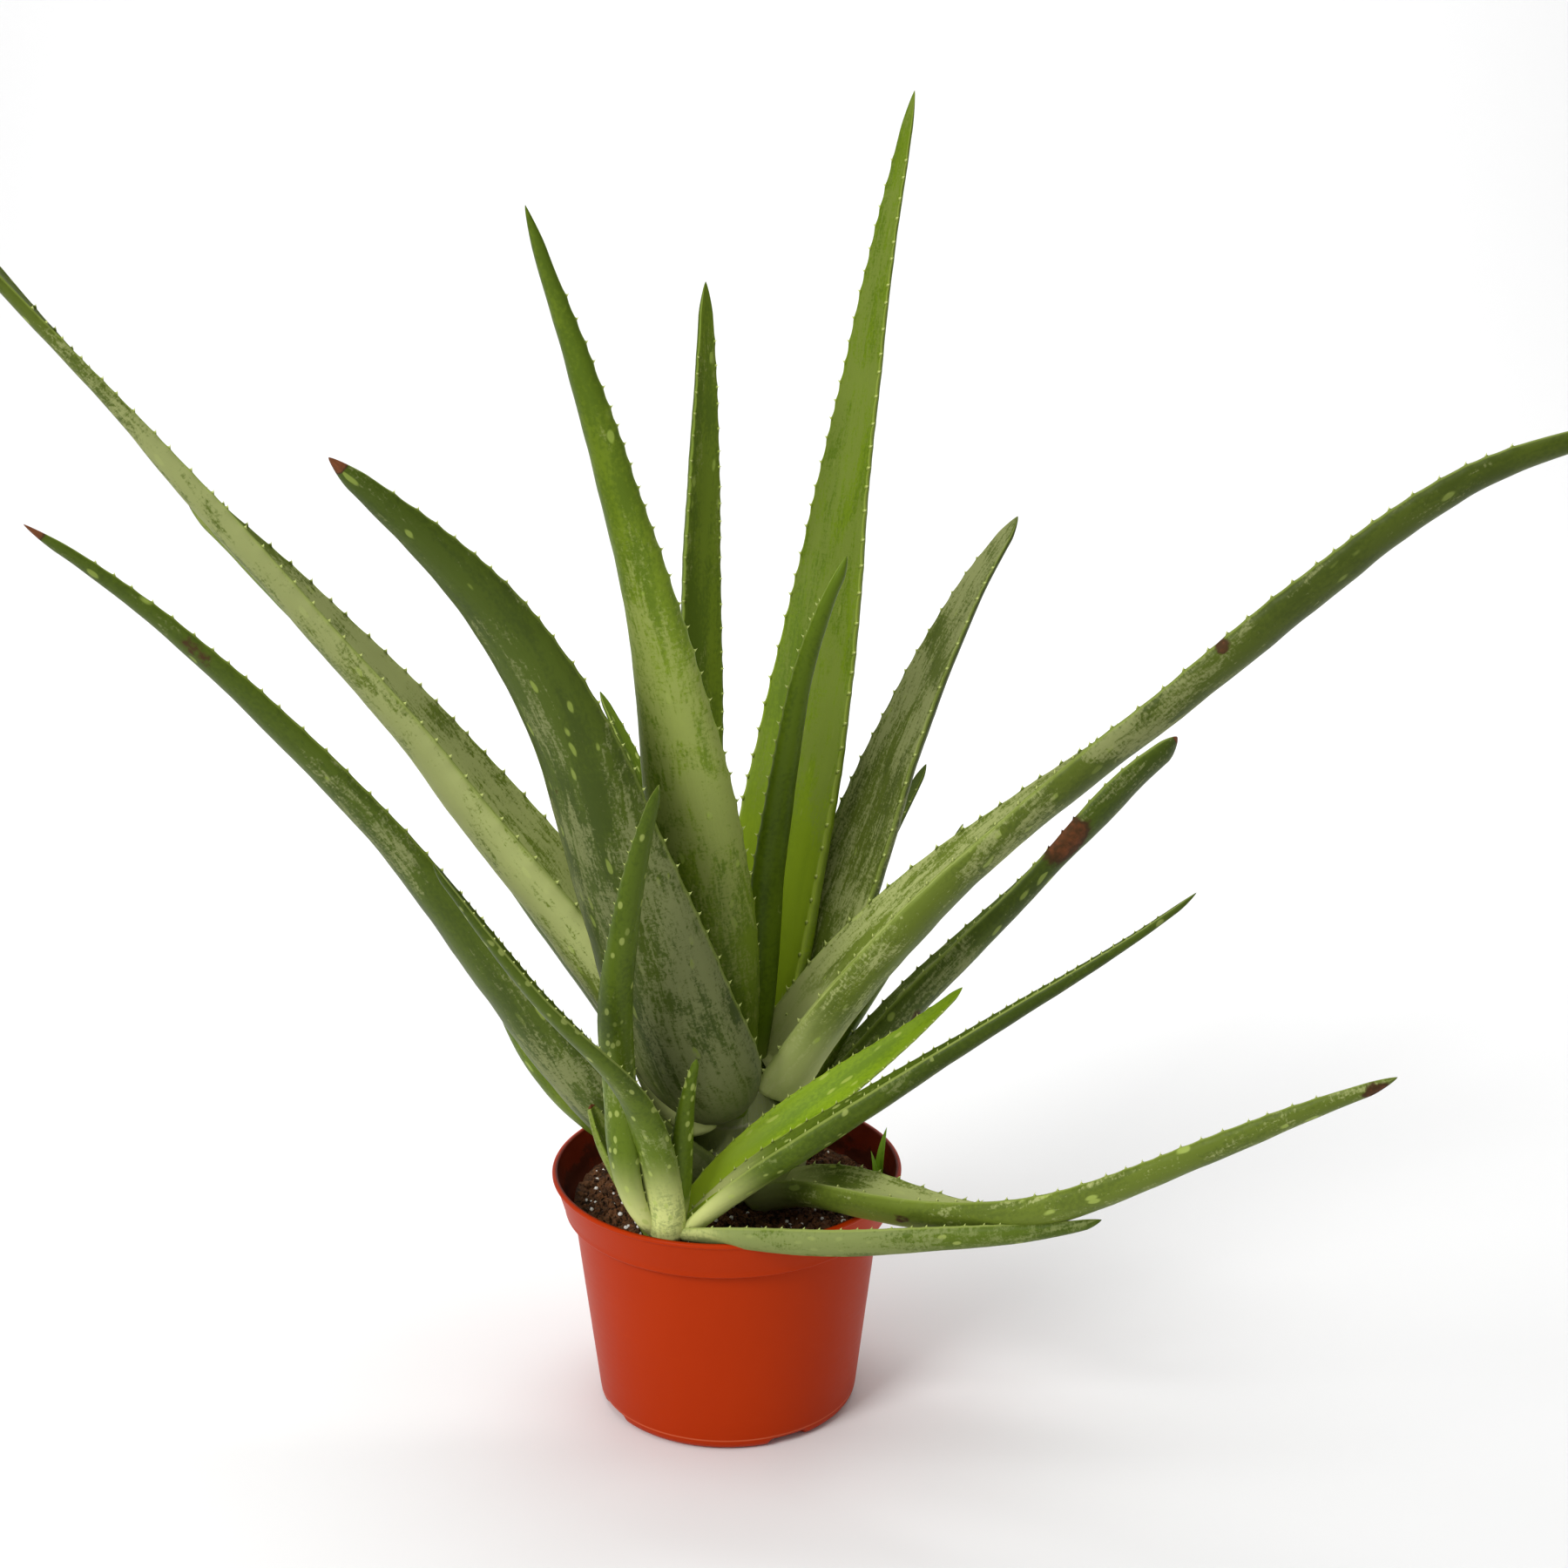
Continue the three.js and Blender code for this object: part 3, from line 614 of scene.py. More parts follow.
def leaf_teeth(shape, places, side, size):
    """Hooked teeth as six-sided cones: the base is an oval on the margin, longer along the leaf than
    across it, the waist is a narrow ring, and the point lies outwards and towards the tip. With the
    surface come four rows of marks for its points: share of the length, place across, share of the
    way from the outer face to the inner one, and how near the tooth's point."""
    share = places / shape.length
    height = size * (0.55 + 0.45 * (shape.sizes(share)[0] / shape.widest) ** 0.5)
    v = np.full(len(share), float(side))
    root = shape.place(share, v, np.zeros(len(share)), -TOOTH_SUNK)
    _, length, across, normal = shape.frame(share)
    fold = (along(shape.leaf["fold"], share) * DEG)[:, None]
    outward = side * across * np.cos(fold) + normal * np.sin(fold)
    upward = np.cross(length, outward)
    k = np.arange(TOOTH_SIDES)
    turn = 2 * np.pi * k / TOOTH_SIDES
    h = height[:, None, None]
    base = (root[:, None] + length[:, None] * np.cos(turn)[:, None] * 0.75 * h
            + upward[:, None] * np.sin(turn)[:, None] * 0.50 * h)
    waist = (root[:, None] + outward[:, None] * 0.70 * h + length[:, None] * 0.25 * h
             + length[:, None] * np.cos(turn)[:, None] * 0.18 * h
             + upward[:, None] * np.sin(turn)[:, None] * 0.18 * h)
    point = root + outward * (height + TOOTH_SUNK)[:, None] + length * height[:, None] * 0.7
    points = np.concatenate([base, waist, point[:, None], root[:, None]], axis=1)
    corners = points.shape[1]
    after = (k + 1) % TOOTH_SIDES
    quads = np.stack([k, after, after + TOOTH_SIDES, k + TOOTH_SIDES], axis=-1)
    fans = np.concatenate([
        np.stack([k + TOOTH_SIDES, after + TOOTH_SIDES, np.full(TOOTH_SIDES, corners - 2)], axis=-1),
        np.stack([after, k, np.full(TOOTH_SIDES, corners - 1)], axis=-1)])
    offset = np.arange(len(share))[:, None, None] * corners
    faces = [(quads + offset).reshape(-1, 4), (fans + offset).reshape(-1, 3)]
    sharp = np.concatenate([np.zeros(TOOTH_SIDES), np.full(TOOTH_SIDES, 0.5), [1.0, 0.0]])
    many = np.ones(corners * len(share))
    marks = np.stack([np.repeat(share, corners), side * many, 0.5 * many, np.tile(sharp, len(share))])
    return shell(points.reshape(-1, 3), faces), marks


# What time has done to each leaf, with painted light in tone. outer and within: how much grey bloom is
# left on the outer and on the hollow inner face. tone: how light the skin is, partly the leaf's own
# shade of green and partly painted light, lighter where the leaf lies in shade and darker where it
# lies in full light. These three are one number for the whole leaf or a list at equal steps from foot
# to tip. flecks: how many cells of the fleck pattern are pale, as one number or as one for the outer
# and one for the inner face. dry: share of the length that is brown at the tip. teeth: spacing and
# height. foot_round: share of the length over which a clasping foot is rounded.
AGEING = dict(outer=0.5, within=0.5, tone=1, flecks=0.05, dry=0.0, teeth=(13, 1.8), foot_round=0.0)
LEAF_AGEING = {
    "young": dict(outer=(0.0, 0.1), within=0.1, tone=(1.6, 1.5, 1.4, 1.7, 1.9),
                  flecks=(0.10, 0.25), teeth=(11, 1.7)),
    "front_tall": dict(outer=(0.15, 0.5, 0.55, 0.2, 0.1), within=(0.5, 0.3),
                       tone=(0.85, 1.1, 1.4, 1.1, 0.8), flecks=(0.05, 0.1)),
    "tall_right": dict(outer=(0.56, 0.5), within=(0.0, 0.35, 0.55, 0.5, 0.4),
                       tone=(1.1, 0.8, 0.6, 0.56, 0.56), flecks=0.05),
    "back_upright": dict(outer=0.3, within=0.3, tone=(0.8, 0.75), flecks=0.12, teeth=(12, 1.4)),
    "inner_left_small": dict(outer=0.3, within=0.3, flecks=0.35, teeth=(9, 1.3)),
    "right_wide": dict(outer=0.4, within=(0.5, 0.48, 0.5, 0.5), tone=(1.9, 1.3, 0.8, 0.7, 0.7),
                       flecks=(0.15, 0.10)),
    "back_right_small": dict(outer=0.2, within=0.3, flecks=0.15, teeth=(9, 1.3)),
    "far_right": dict(outer=(0.56, 0.42, 0.3, 0.28, 0.2), within=(0.66, 0.52, 0.34, 0.3, 0.2),
                      tone=(1.6, 1.2, 0.78, 0.72, 0.75), flecks=(0.10, 0.08)),
    "far_left": dict(outer=(0.66, 0.62, 0.6, 0.58, 0.2), within=(0.55, 0.55, 0.5, 0.3),
                     tone=(2.4, 1.7, 1.15, 1.0, 0.9), flecks=(0.08, 0.05), dry=0.025),
    "front_left": dict(outer=(0.60, 0.52, 0.44, 0.38, 0.3, 0.2), within=0.3,
                       tone=(0.78, 0.75, 0.92, 0.95, 0.9), flecks=(0.18, 0.10), dry=0.018,
                       foot_round=0.16),
    "under_far_left": dict(outer=(0.45, 0.4), within=0.4, dry=0.01),
    "right_scarred": dict(outer=(0.48, 0.4, 0.3), within=(0.55, 0.4, 0.3), flecks=(0.10, 0.12), dry=0.01,
                          teeth=(12, 1.4)),
    "low_left": dict(outer=(0.55, 0.4, 0.32, 0.28, 0.25), within=(0.5, 0.3), flecks=0.06, dry=0.02),
    "behind_low_left": dict(outer=0.3, within=0.4, flecks=0.10, dry=0.02, teeth=(10, 1.3)),
    "low_right": dict(outer=(0.3, 0.36, 0.4, 0.4), within=(0.4, 0.68, 0.6, 0.5),
                      tone=(1.2, 1.3, 1.2, 1.1), flecks=(0.12, 0.10), teeth=(12, 1.5)),
    "right_inner": dict(outer=0.4, within=0.5, flecks=0.12, teeth=(9, 1.2)),
    "pup_small": dict(outer=0.2, within=0.2, flecks=0.75, teeth=(7, 1.0)),
    "pup_upright": dict(outer=(0.35, 0.2), within=0.2, tone=(1.1, 0.85, 0.75), flecks=0.40,
                        teeth=(8, 1.2)),
    "pup_right_upper": dict(outer=0.2, within=0.2, tone=(1.0, 1.0, 0.8), flecks=(0.2, 0.3),
                            teeth=(8, 1.3)),
    "pup_right_long": dict(outer=0.3, within=0.3, tone=(1.1, 0.62, 0.6), flecks=0.25, teeth=(8, 1.2)),
    "pup_left": dict(outer=(0.48, 0.32, 0.2), within=(0.48, 0.32, 0.2), tone=(1.2, 0.9, 0.7, 0.6),
                     flecks=0.5, teeth=(8, 1.2)),
    "pup_far_left": dict(flecks=0.15, dry=0.02, teeth=(8, 0.9)),
    "pup_low": dict(outer=(0.56, 0.5, 0.45), within=(0.6, 0.52, 0.45), tone=(0.95, 0.85, 0.8),
                    flecks=0.35, teeth=(9, 1.2)),
}
# Brown scars: share of the length, place across, reach along and across in millimetres, and depth.
SCARS = {
    "right_scarred": ((0.73, 0.8, 10, 5, 0.6), (0.33, 0.4, 3, 2, 0.45)),
    "low_left": ((0.80, -0.6, 8, 2.5, 0.36),),
    "far_right": ((0.62, 0.9, 3, 1.5, 0.5), (0.88, -0.5, 4, 2, 0.4)),
    "low_right": ((0.30, 0.6, 4, 1.5, 0.42), (0.97, 0.0, 5, 3, 0.5)),
    "front_left": ((0.20, -0.6, 2, 1, 0.4), (0.52, 0.2, 1.5, 1.5, 0.4)),
    "front_tall": ((0.11, 0.1, 3, 1.5, 0.4),),
}


def leaf_grid(length):
    """Share of the length, place across and face (1 the inner one, 0 the outer one) of each point of
    a leaf's rings, which lie closer together towards the tip. A ring runs over the inner face and
    back under the outer one."""
    rings = int(length / STATION_GAP) + 40
    share = (1 - (1 - np.linspace(0.0005, 1, rings)) ** 1.25)[:-1, None]
    across = np.sin(np.linspace(-90, 90, FACE_POINTS) * DEG)
    v = np.concatenate([across, across[-2:0:-1]])
    inner = np.concatenate([np.ones(FACE_POINTS), np.zeros(FACE_POINTS - 2)])
    return np.broadcast_arrays(share, v, inner)


def leaf_lift(shape, random, share, v, inner):
    """How far each face stands off the middle surface: half the margin's thickness times
    (1 - v^12)^0.5, so that the margins are round, and a share of the leaf's thickness times
    (1 - v^2) on the inner face and (1 - v^2)^0.6 on the outer one."""
    _, thick, margin = shape.sizes(share)
    swell = 1 + 0.05 * ripple(random, share * shape.length + 4 * v, 90)
    rounded = margin / 2 * np.sqrt(1 - np.abs(v) ** 12)
    hollow = rounded + INNER_SHARE * thick * (1 - v * v) * swell
    back = rounded + (1 - INNER_SHARE) * thick * (1 - v * v) ** 0.6 * swell
    return np.where(inner > 0.5, hollow, -back)


def leaf_state(name, leaf, ageing, u, w, face):
    """Bloom, flecks and dryness of each point. A scar has its full depth within 0.8 of its reach and
    is gone at 1.8 of it."""
    outer, within = along(ageing["outer"], u), along(ageing["within"], u)
    dry = np.zeros_like(u)
    if ageing["dry"]:
        dry = smooth_step(u, 1 - ageing["dry"] * 1.3, 1 - ageing["dry"] * 0.7)
    for share, side, reach, breadth, depth in SCARS.get(name, ()):
        gap = np.hypot((u - share) * leaf["length"] / reach,
                       (w - side) * along(leaf["width"], u) / 2 / breadth)
        dry = np.maximum(dry, depth * np.clip(1.8 - gap, 0, 1))
    return np.stack([outer + (within - outer) * face, along(ageing["flecks"], face), dry], -1)


def add_leaf(number, name, leaf):
    """A leaf's rings with small bulges of the margins, which carry the teeth."""
    random = np.random.default_rng(100 + number)
    ageing = {**AGEING, **LEAF_AGEING.get(name, {})}
    shape = LeafShape(leaf, random, ageing["foot_round"])
    spacing, size = ageing["teeth"]
    share, v, inner = leaf_grid(leaf["length"])
    lift = leaf_lift(shape, random, share, v, inner)
    spread = np.zeros_like(share)
    shells, marks = [], []
    for side in (-1, 1):
        teeth = teeth_places(random, shape.length, spacing)
        near = np.abs(share[:, :1] * shape.length - teeth[None, :]).min(axis=1)
        bulge = 0.30 * size * np.exp(-(near / (0.17 * spacing)) ** 2) - 0.08 * size
        spread += np.where(side * v > 0, bulge[:, None] * np.abs(v) ** 8, 0)
        cones, cone_marks = leaf_teeth(shape, teeth, side, size)
        shells.append(cones)
        marks.append(cone_marks)
    fade = np.clip((1 - share) / 0.05, 0, 1)
    grid = shape.place(share, v, lift, spread * fade)
    tip = shape.place(np.array(1.0), np.array(0.0), np.array(0.0))
    body = closed_rings(grid, shape.spine[0], tip)
    ring_marks = np.stack([share, v, inner, 0 * share]).reshape(4, -1)
    end_marks = np.array([[0, 1], [0, 0], [0, 0], [0, 0]])
    u, w, face, tooth = np.concatenate([ring_marks, end_marks, *marks], axis=1)
    # tone: lightness along the leaf, partly painted light, raised where the leaf lies in shade and
    # lowered where it lies in full light.
    place = [u * shape.length, w * along(leaf["width"], u) / 2, 40 * face + 90 * number]
    values = {"place": np.stack(place, -1) * MM, "share": np.stack([u, w, face], -1),
              "state": leaf_state(name, leaf, ageing, u, w, face), "tooth": tooth,
              "tone": along(ageing["tone"], u)}
    skin = leaf["skin"]
    add_piece(name, joined([body, *shells]), LEAF_MATERIALS[skin], [name], values)


for number, (name, leaf) in enumerate(LEAVES.items()):
    add_leaf(number, name, leaf)

# ---------------------------------------------------------------- pot

RIM_RADIUS, _, POT_HEIGHT = np.array(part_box("pot")[1]) / MM
FOOT_RADIUS = 57
WALL_TOP_RADIUS = 67           # just under the rim band
BAND_HEIGHT = 18
BAND_RADIUS = 71               # at the band's lower edge
LIP_RADIUS = RIM_RADIUS - 0.8  # just under the lip
LIP_HEIGHT = 2.2
WALL = 1.5
FLOOR = 2.6
CORNER = 5
NOTCH_TURN = -61 * DEG
NOTCH_HALF = 9                 # mm to each side of a drain notch's middle
NOTCH_HEIGHT = 2
NOTCH_INNER_RADIUS = 44
POT_COLUMNS = 288


def arc(centre, radius, start, end, count):
    """Points of a profile on a circle, from one angle to another."""
    turn = np.linspace(start, end, count) * DEG
    return np.stack([centre[0] + radius * np.cos(turn), centre[1] + radius * np.sin(turn)], -1)


def straight(start, end, gap=1.5):
    """Points of a profile on a line, about gap apart, without the last one."""
    count = max(2, int(math.dist(start, end) / gap) + 1)
    return np.linspace(start, end, count)[:-1]


def pot_profile():
    """Radius and height from the middle of the underside, up the wall and the rim band, over the
    rolled lip and down the inside to the middle of the floor."""
    band_z = POT_HEIGHT - BAND_HEIGHT
    lip_z = POT_HEIGHT - LIP_HEIGHT
    runs = [
        straight((1, 0), (FOOT_RADIUS - CORNER, 0)),
        arc((FOOT_RADIUS - CORNER, CORNER), CORNER, -90, -4, 8),
        straight((FOOT_RADIUS + 0.2, CORNER + 1.2), (WALL_TOP_RADIUS, band_z - 1.6), 2.5),
        arc((WALL_TOP_RADIUS + 1.4, band_z - 1.6), 1.4, 180, 100, 5),
        arc((BAND_RADIUS - 1.2, band_z + 1), 1.2, -80, -3, 6),
        straight((BAND_RADIUS + 0.1, band_z + 2.2), (LIP_RADIUS - 0.5, lip_z - 0.6), 1.5),
        arc((LIP_RADIUS + 0.1, lip_z - 0.5), 0.6, 180, 90, 4),
        arc((RIM_RADIUS - 1.1, POT_HEIGHT - 1.1), 1.1, -60, 90, 10),
        arc((LIP_RADIUS - 0.9, POT_HEIGHT - 0.7), 0.7, 90, 175, 5),
        straight((LIP_RADIUS - WALL - 0.3, POT_HEIGHT - 1.6), (BAND_RADIUS - WALL, band_z + 2.4)),
        straight((BAND_RADIUS - WALL - 0.6, band_z + 1), (WALL_TOP_RADIUS - WALL, band_z - 1)),
        straight((WALL_TOP_RADIUS - WALL, band_z - 1.2), (FOOT_RADIUS - WALL, CORNER + 1), 4),
        straight((FOOT_RADIUS - CORNER, FLOOR), (1, FLOOR), 6),
    ]
    return np.concatenate(runs)


def lathe(profile, columns):
    """Grid of points (r cos a, r sin a, z) for each (r, z) of the profile and each angle a."""
    angle = np.linspace(0, 2 * np.pi, columns, endpoint=False)
    r, z = profile[:, :1], profile[:, 1:]
    return np.stack([r * np.cos(angle), r * np.sin(angle), z + 0 * angle], axis=-1), angle


def pot_surface():
    """The lathed profile, pressed up by the four drain notches: the lift is NOTCH_HEIGHT inside each
    notch, falls to nothing within 1.5 mm past its ends, and fades out 7 mm up the corner."""
    profile = pot_profile()
    grid, angle = lathe(profile, POT_COLUMNS)
    outside = np.arange(len(profile)) <= np.argmax(profile[:, 1])
    off = (angle - NOTCH_TURN + np.pi / 4) % (np.pi / 2) - np.pi / 4
    radius, height = profile[:, :1], profile[:, 1:]
    ends = smooth_step(np.abs(off)[None, :] * FOOT_RADIUS, NOTCH_HALF + 1.0, NOTCH_HALF - 1.0)
    depth = smooth_step(radius, NOTCH_INNER_RADIUS - 2, NOTCH_INNER_RADIUS)
    fade = smooth_step(height, 7.0, 0.0) * outside[:, None]
    grid[..., 2] += NOTCH_HEIGHT * ends * depth * fade
    bow = 0.15 * np.sin(3 * angle + 0.6) * smooth_step(height, 20, POT_HEIGHT)
    grid[..., 0] += bow * np.cos(angle)
    grid[..., 1] += bow * np.sin(angle)
    inside = np.append(np.repeat(1.0 - outside, POT_COLUMNS), [0.0, 1.0])
    return closed_rings(grid, (0, 0, profile[0, 1]), (0, 0, profile[-1, 1])), {"inside": inside}


def pot_material():
    """Moulded orange-red plastic: faint cloudy colour, fine scuffs, soil dust mixed with painted shade on
    the inside of the wall, the whole inside painted darker as shade, a pale mould line round the foot,
    and a satin gloss broken by handling marks."""
    material, tree, surface = new_material("nursery_pot_plastic")
    place, inside = object_place(tree), attribute(tree, "inside", "Fac")
    z = split(tree, place)[2]
    clouds = noise(tree, place, (25, 25, 12))
    scuffs = noise(tree, place, (60, 60, 900), 3.0, 0.6, 0.5)
    colour = mix(tree, clouds, (0.40, 0.027, 0.0004, 1), (0.46, 0.034, 0.0006, 1))
    colour = mix(tree, step(tree, scuffs, 0.62, 0.80, 0.0, 0.22), colour, (0.50, 0.050, 0.002, 1))
    # Soil dust on the inside of the wall, heavier near the soil. Its dark patches also stand in as
    # painted shade there.
    dust = noise(tree, place, (70, 70, 110), 6.0, 0.7)
    dust = calc(tree, "ADD", dust, step(tree, z, 0.093, 0.106, 0.25, -0.12))
    dust_and_shade = calc(tree, "MULTIPLY", step(tree, dust, 0.52, 0.72), inside)
    colour = mix(tree, calc(tree, "MULTIPLY", dust_and_shade, 0.9), colour, (0.045, 0.02, 0.010, 1))
    # Painted shade: the whole inside of the wall is darkened to a deep red brown.
    colour = mix(tree, calc(tree, "MULTIPLY", inside, 0.75), colour, (0.06, 0.008, 0.001, 1))
    from_line = calc(tree, "ABSOLUTE", calc(tree, "SUBTRACT", z, 0.0052))
    colour = mix(tree, step(tree, from_line, 0.0002, 0.0005, 0.35, 0.0), colour, (0.80, 0.22, 0.10, 1))
    ridges = noise(tree, place, (400, 400, 500), 2.0)
    height = weighted(tree, 0.0, (ridges, 0.35), (dust_and_shade, 0.8))
    plug(tree, surface, {
        "Base Color": colour, "Roughness": weighted(tree, 0.34, (scuffs, 0.14), (dust_and_shade, 0.4)),
        "Specular IOR Level": 0.07, "Normal": bumped(tree, height, 0.2, 0.0004)})
    return material


pot_shape, pot_values = pot_surface()
add_piece("nursery_pot", pot_shape, pot_material(), ["pot"], pot_values)

# ---------------------------------------------------------------- soil

SOIL_EDGE = 93
SOIL_CROWN = 96
SOIL_RADIUS = 67.0             # inside the wall at the soil's level
SOIL_DEEP_RADIUS = 54.5        # inside the wall at the floor
SOIL_COLUMNS = 260


def soil_height(x, y):
    """Crown of the soil, plus lumps of four sizes: each is lattice noise."""
    random = np.random.default_rng(7)
    share = np.hypot(x, y) / SOIL_RADIUS
    height = SOIL_EDGE + (SOIL_CROWN - SOIL_EDGE) * (1 - share ** 2)
    for cell, size in ((23.0, 1.4), (9.0, 1.3), (4.1, 1.2), (1.9, 0.6)):
        height = height + size * lattice_noise(random, x + 200, y + 200, cell)
    return height


def soil_surface():
    """Closed body: flat floor, leaning wall, and the lumpy top as rings that close on the middle."""
    buried = [(1, FLOOR + 0.4), (SOIL_DEEP_RADIUS - 3, FLOOR + 0.4), (SOIL_DEEP_RADIUS, 8), (60, 50),
              (65.1, 88), (SOIL_RADIUS - 1.0, 90.5), (SOIL_RADIUS, 91)]
    top = [(radius, 0) for radius in np.linspace(SOIL_RADIUS, 1.0, 86)]
    grid, _ = lathe(np.array(buried + top), SOIL_COLUMNS)
    lumpy = grid[len(buried):]
    lumpy[..., 2] = soil_height(lumpy[..., 0], lumpy[..., 1])
    middle = (0, 0, soil_height(np.zeros(1), np.zeros(1))[0])
    return closed_rings(grid, (0, 0, FLOOR + 0.4), middle)


def soil_material():
    """Dark peat: near black to red brown in crumbs of two sizes, with pale fibres."""
    material, tree, surface = new_material("potting_mix")
    place = object_place(tree)
    crumbs = node(tree, "ShaderNodeTexVoronoi", {"Vector": place, "Scale": 420.0}).outputs
    dust = noise(tree, place, (900, 900, 900), 4.0, 0.7)
    fibres = noise(tree, place, (900, 120, 900), 3.0, 0.5, 2.0)
    crumb = split(tree, crumbs["Color"])[0]
    colour = mix(tree, crumb, (0.022, 0.009, 0.004, 1), (0.20, 0.080, 0.028, 1))
    colour = mix(tree, step(tree, dust, 0.45, 0.72, 0.0, 0.6), colour, (0.22, 0.12, 0.055, 1))
    colour = mix(tree, step(tree, fibres, 0.66, 0.72, 0.0, 0.6), colour, (0.24, 0.15, 0.08, 1))
    height = weighted(tree, dust, (crumbs["Distance"], 1.5))
    plug(tree, surface, {
        "Base Color": colour, "Roughness": 0.9, "Specular IOR Level": 0.25,
        "Normal": bumped(tree, height, 0.9, 0.0012)})
    return material


def ball():
    """Points and triangles of the twenty-sided ball of radius 1: its triangles join the points that
    lie next to each other."""
    golden = (1 + 5 ** 0.5) / 2
    points = [(-1, golden, 0), (1, golden, 0), (-1, -golden, 0), (1, -golden, 0),
              (0, -1, golden), (0, 1, golden), (0, -1, -golden), (0, 1, -golden),
              (golden, 0, -1), (golden, 0, 1), (-golden, 0, -1), (-golden, 0, 1)]
    points = np.array(points) / math.hypot(1, golden)
    near = np.linalg.norm(points[:, None] - points[None], axis=-1) < 1.1
    faces = np.array([(a, b, c) for a in range(12) for b in range(a + 1, 12) for c in range(b + 1, 12)
                      if near[a, b] and near[b, c] and near[c, a]])
    first, second, third = (points[faces[:, k]] for k in range(3))
    inward = np.einsum("ij,ij->i", np.cross(second - first, third - first), first) < 0
    faces[inward] = faces[inward][:, ::-1]
    return points, faces


def grains(random, places, sizes, flatness, roughness):
    """Lumps at places: each is the ball with every point pushed in or out at random, flattened,
    turned about the vertical and scaled."""
    points, faces = ball()
    count = len(places)
    bumps = 1 + random.uniform(-roughness, roughness, (count, len(points), 1))
    lumps = points[None] * bumps * random.uniform(flatness, 1.0, (count, 1, 3))
    turn = random.uniform(0, 2 * np.pi, (count, 1))
    x, y, z = lumps[..., 0], lumps[..., 1], lumps[..., 2]
    turned = np.stack([x * np.cos(turn) - y * np.sin(turn), x * np.sin(turn) + y * np.cos(turn), z], -1)
    lumps = turned * sizes[:, None, None] + places[:, None]
    offset = np.arange(count)[:, None, None] * len(points)
    return lumps.reshape(-1, 3), [(faces[None] + offset).reshape(-1, 3)]


def scattered(random, count, sizes, proud=0.25):
    """Grains' places on the soil, even over its area, with sizes that favour the small ones. proud
    is the share of its size by which a grain's middle stands above the soil."""
    radius = (SOIL_RADIUS - 3.5) * np.sqrt(random.uniform(0, 1, count))
    angle = random.uniform(0, 2 * np.pi, count)
    size = sizes[0] + (sizes[1] - sizes[0]) * random.uniform(0, 1, count) ** 2
    x, y = radius * np.cos(angle), radius * np.sin(angle)
    return np.stack([x, y, soil_height(x, y) + size * proud], -1), size


def perlite_material():
    """White expanded grains, dusted with brown."""
    material, tree, surface = new_material("perlite")
    dust = noise(tree, object_place(tree), (700, 700, 700), 4.0, 0.65)
    colour = mix(tree, step(tree, dust, 0.55, 0.75), (0.90, 0.87, 0.80, 1), (0.30, 0.20, 0.12, 1))
    plug(tree, surface, {
        "Base Color": colour, "Roughness": 0.85, "Normal": bumped(tree, dust, 0.5, 0.0005)})
    return material


def add_soil():
    soil_look = soil_material()
    add_piece("potting_mix", soil_surface(), soil_look, ["soil"])
    random = np.random.default_rng(11)
    add_piece("soil_crumbs", grains(random, *scattered(random, 5200, (0.5, 2.6)), 0.6, 0.25),
              soil_look, smooth=False)
    add_piece("perlite_grains", grains(random, *scattered(random, 480, (0.5, 1.5), 0.9), 0.7, 0.12),
              perlite_material())


add_soil()

# ---------------------------------------------------------------- stems and grass

# Stems: centre in plan, then radius and height from the buried end to the top.
STEMS = {
    "main_stem": dict(
        at=(9, 9),
        rings=((5, 52), (14, 64), (20, 84), (25, 99), (26, 112), (23, 127), (16, 142), (8, 152))),
    "pup_stem": dict(
        at=(-24, -56),
        rings=((1.5, 76), (3.5, 84), (4, 90), (7, 95), (8, 99), (6, 106), (3, 110))),
}
# Grass: foot, length, width, thickness, bearing and rise.
SHOOTS = {
    "grass_blade_long": dict(foot=(66.3, 8.4, 91), length=29, width=4.4, thick=1, bearing=60, rise=82),
    "grass_blade_short": dict(foot=(65.8, 2.3, 91), length=21, width=3.2, thick=1, bearing=120, rise=84),
}
SHEATH_STEP = 11               # mm between the edges of the old leaf bases on a stem
STEM_RINGS = 150
STEM_COLUMNS = 96
BLADE_RINGS = 60
BLADE_COLUMNS = 24
BLADE_NOD = 26                 # degrees that a grass blade's tip leans out further than its foot


def stem_surface(stem, random):
    """Radius along the height on a smooth curve, with a sawtooth of old leaf bases: each leaves a
    ridge 0.7 mm high whose edge runs a little up and down round the stem."""
    rings = np.array(stem["rings"], float)
    share = np.linspace(0, 1, STEM_RINGS)[:, None]
    angle = np.linspace(0, 2 * np.pi, STEM_COLUMNS, endpoint=False)[None, :]
    radius, height = along(rings[:, 0], share), along(rings[:, 1], share)
    slant = 2.5 * np.sin(angle + random.uniform(0, 6.28)) + 1.2 * np.sin(2 * angle)
    tooth = ((height + slant) / SHEATH_STEP) % 1
    small = min(1.0, rings[:, 0].max() / 15)
    radius = radius + small * (0.9 * tooth ** 2 * smooth_step(tooth, 1.0, 0.93) - 0.3)
    grid = np.stack([stem["at"][0] + radius * np.cos(angle), stem["at"][1] + radius * np.sin(angle),
                     height + 0 * angle], -1)
    surface = closed_rings(grid, (*stem["at"], rings[0, 1]), (*stem["at"], rings[-1, 1]))
    share, angle, tooth = np.broadcast_arrays(share, angle, tooth)
    count = len(surface[0])
    place = np.zeros((count, 3))
    place[:-2, 0] = (height + 0 * angle).ravel() * MM
    place[:-2, 1] = (angle * rings[:, 0].max()).ravel() * MM
    edge = np.zeros(count)
    edge[:-2] = smooth_step(tooth, 0.88, 0.99).ravel()
    return surface, {"place": place, "edge": edge}


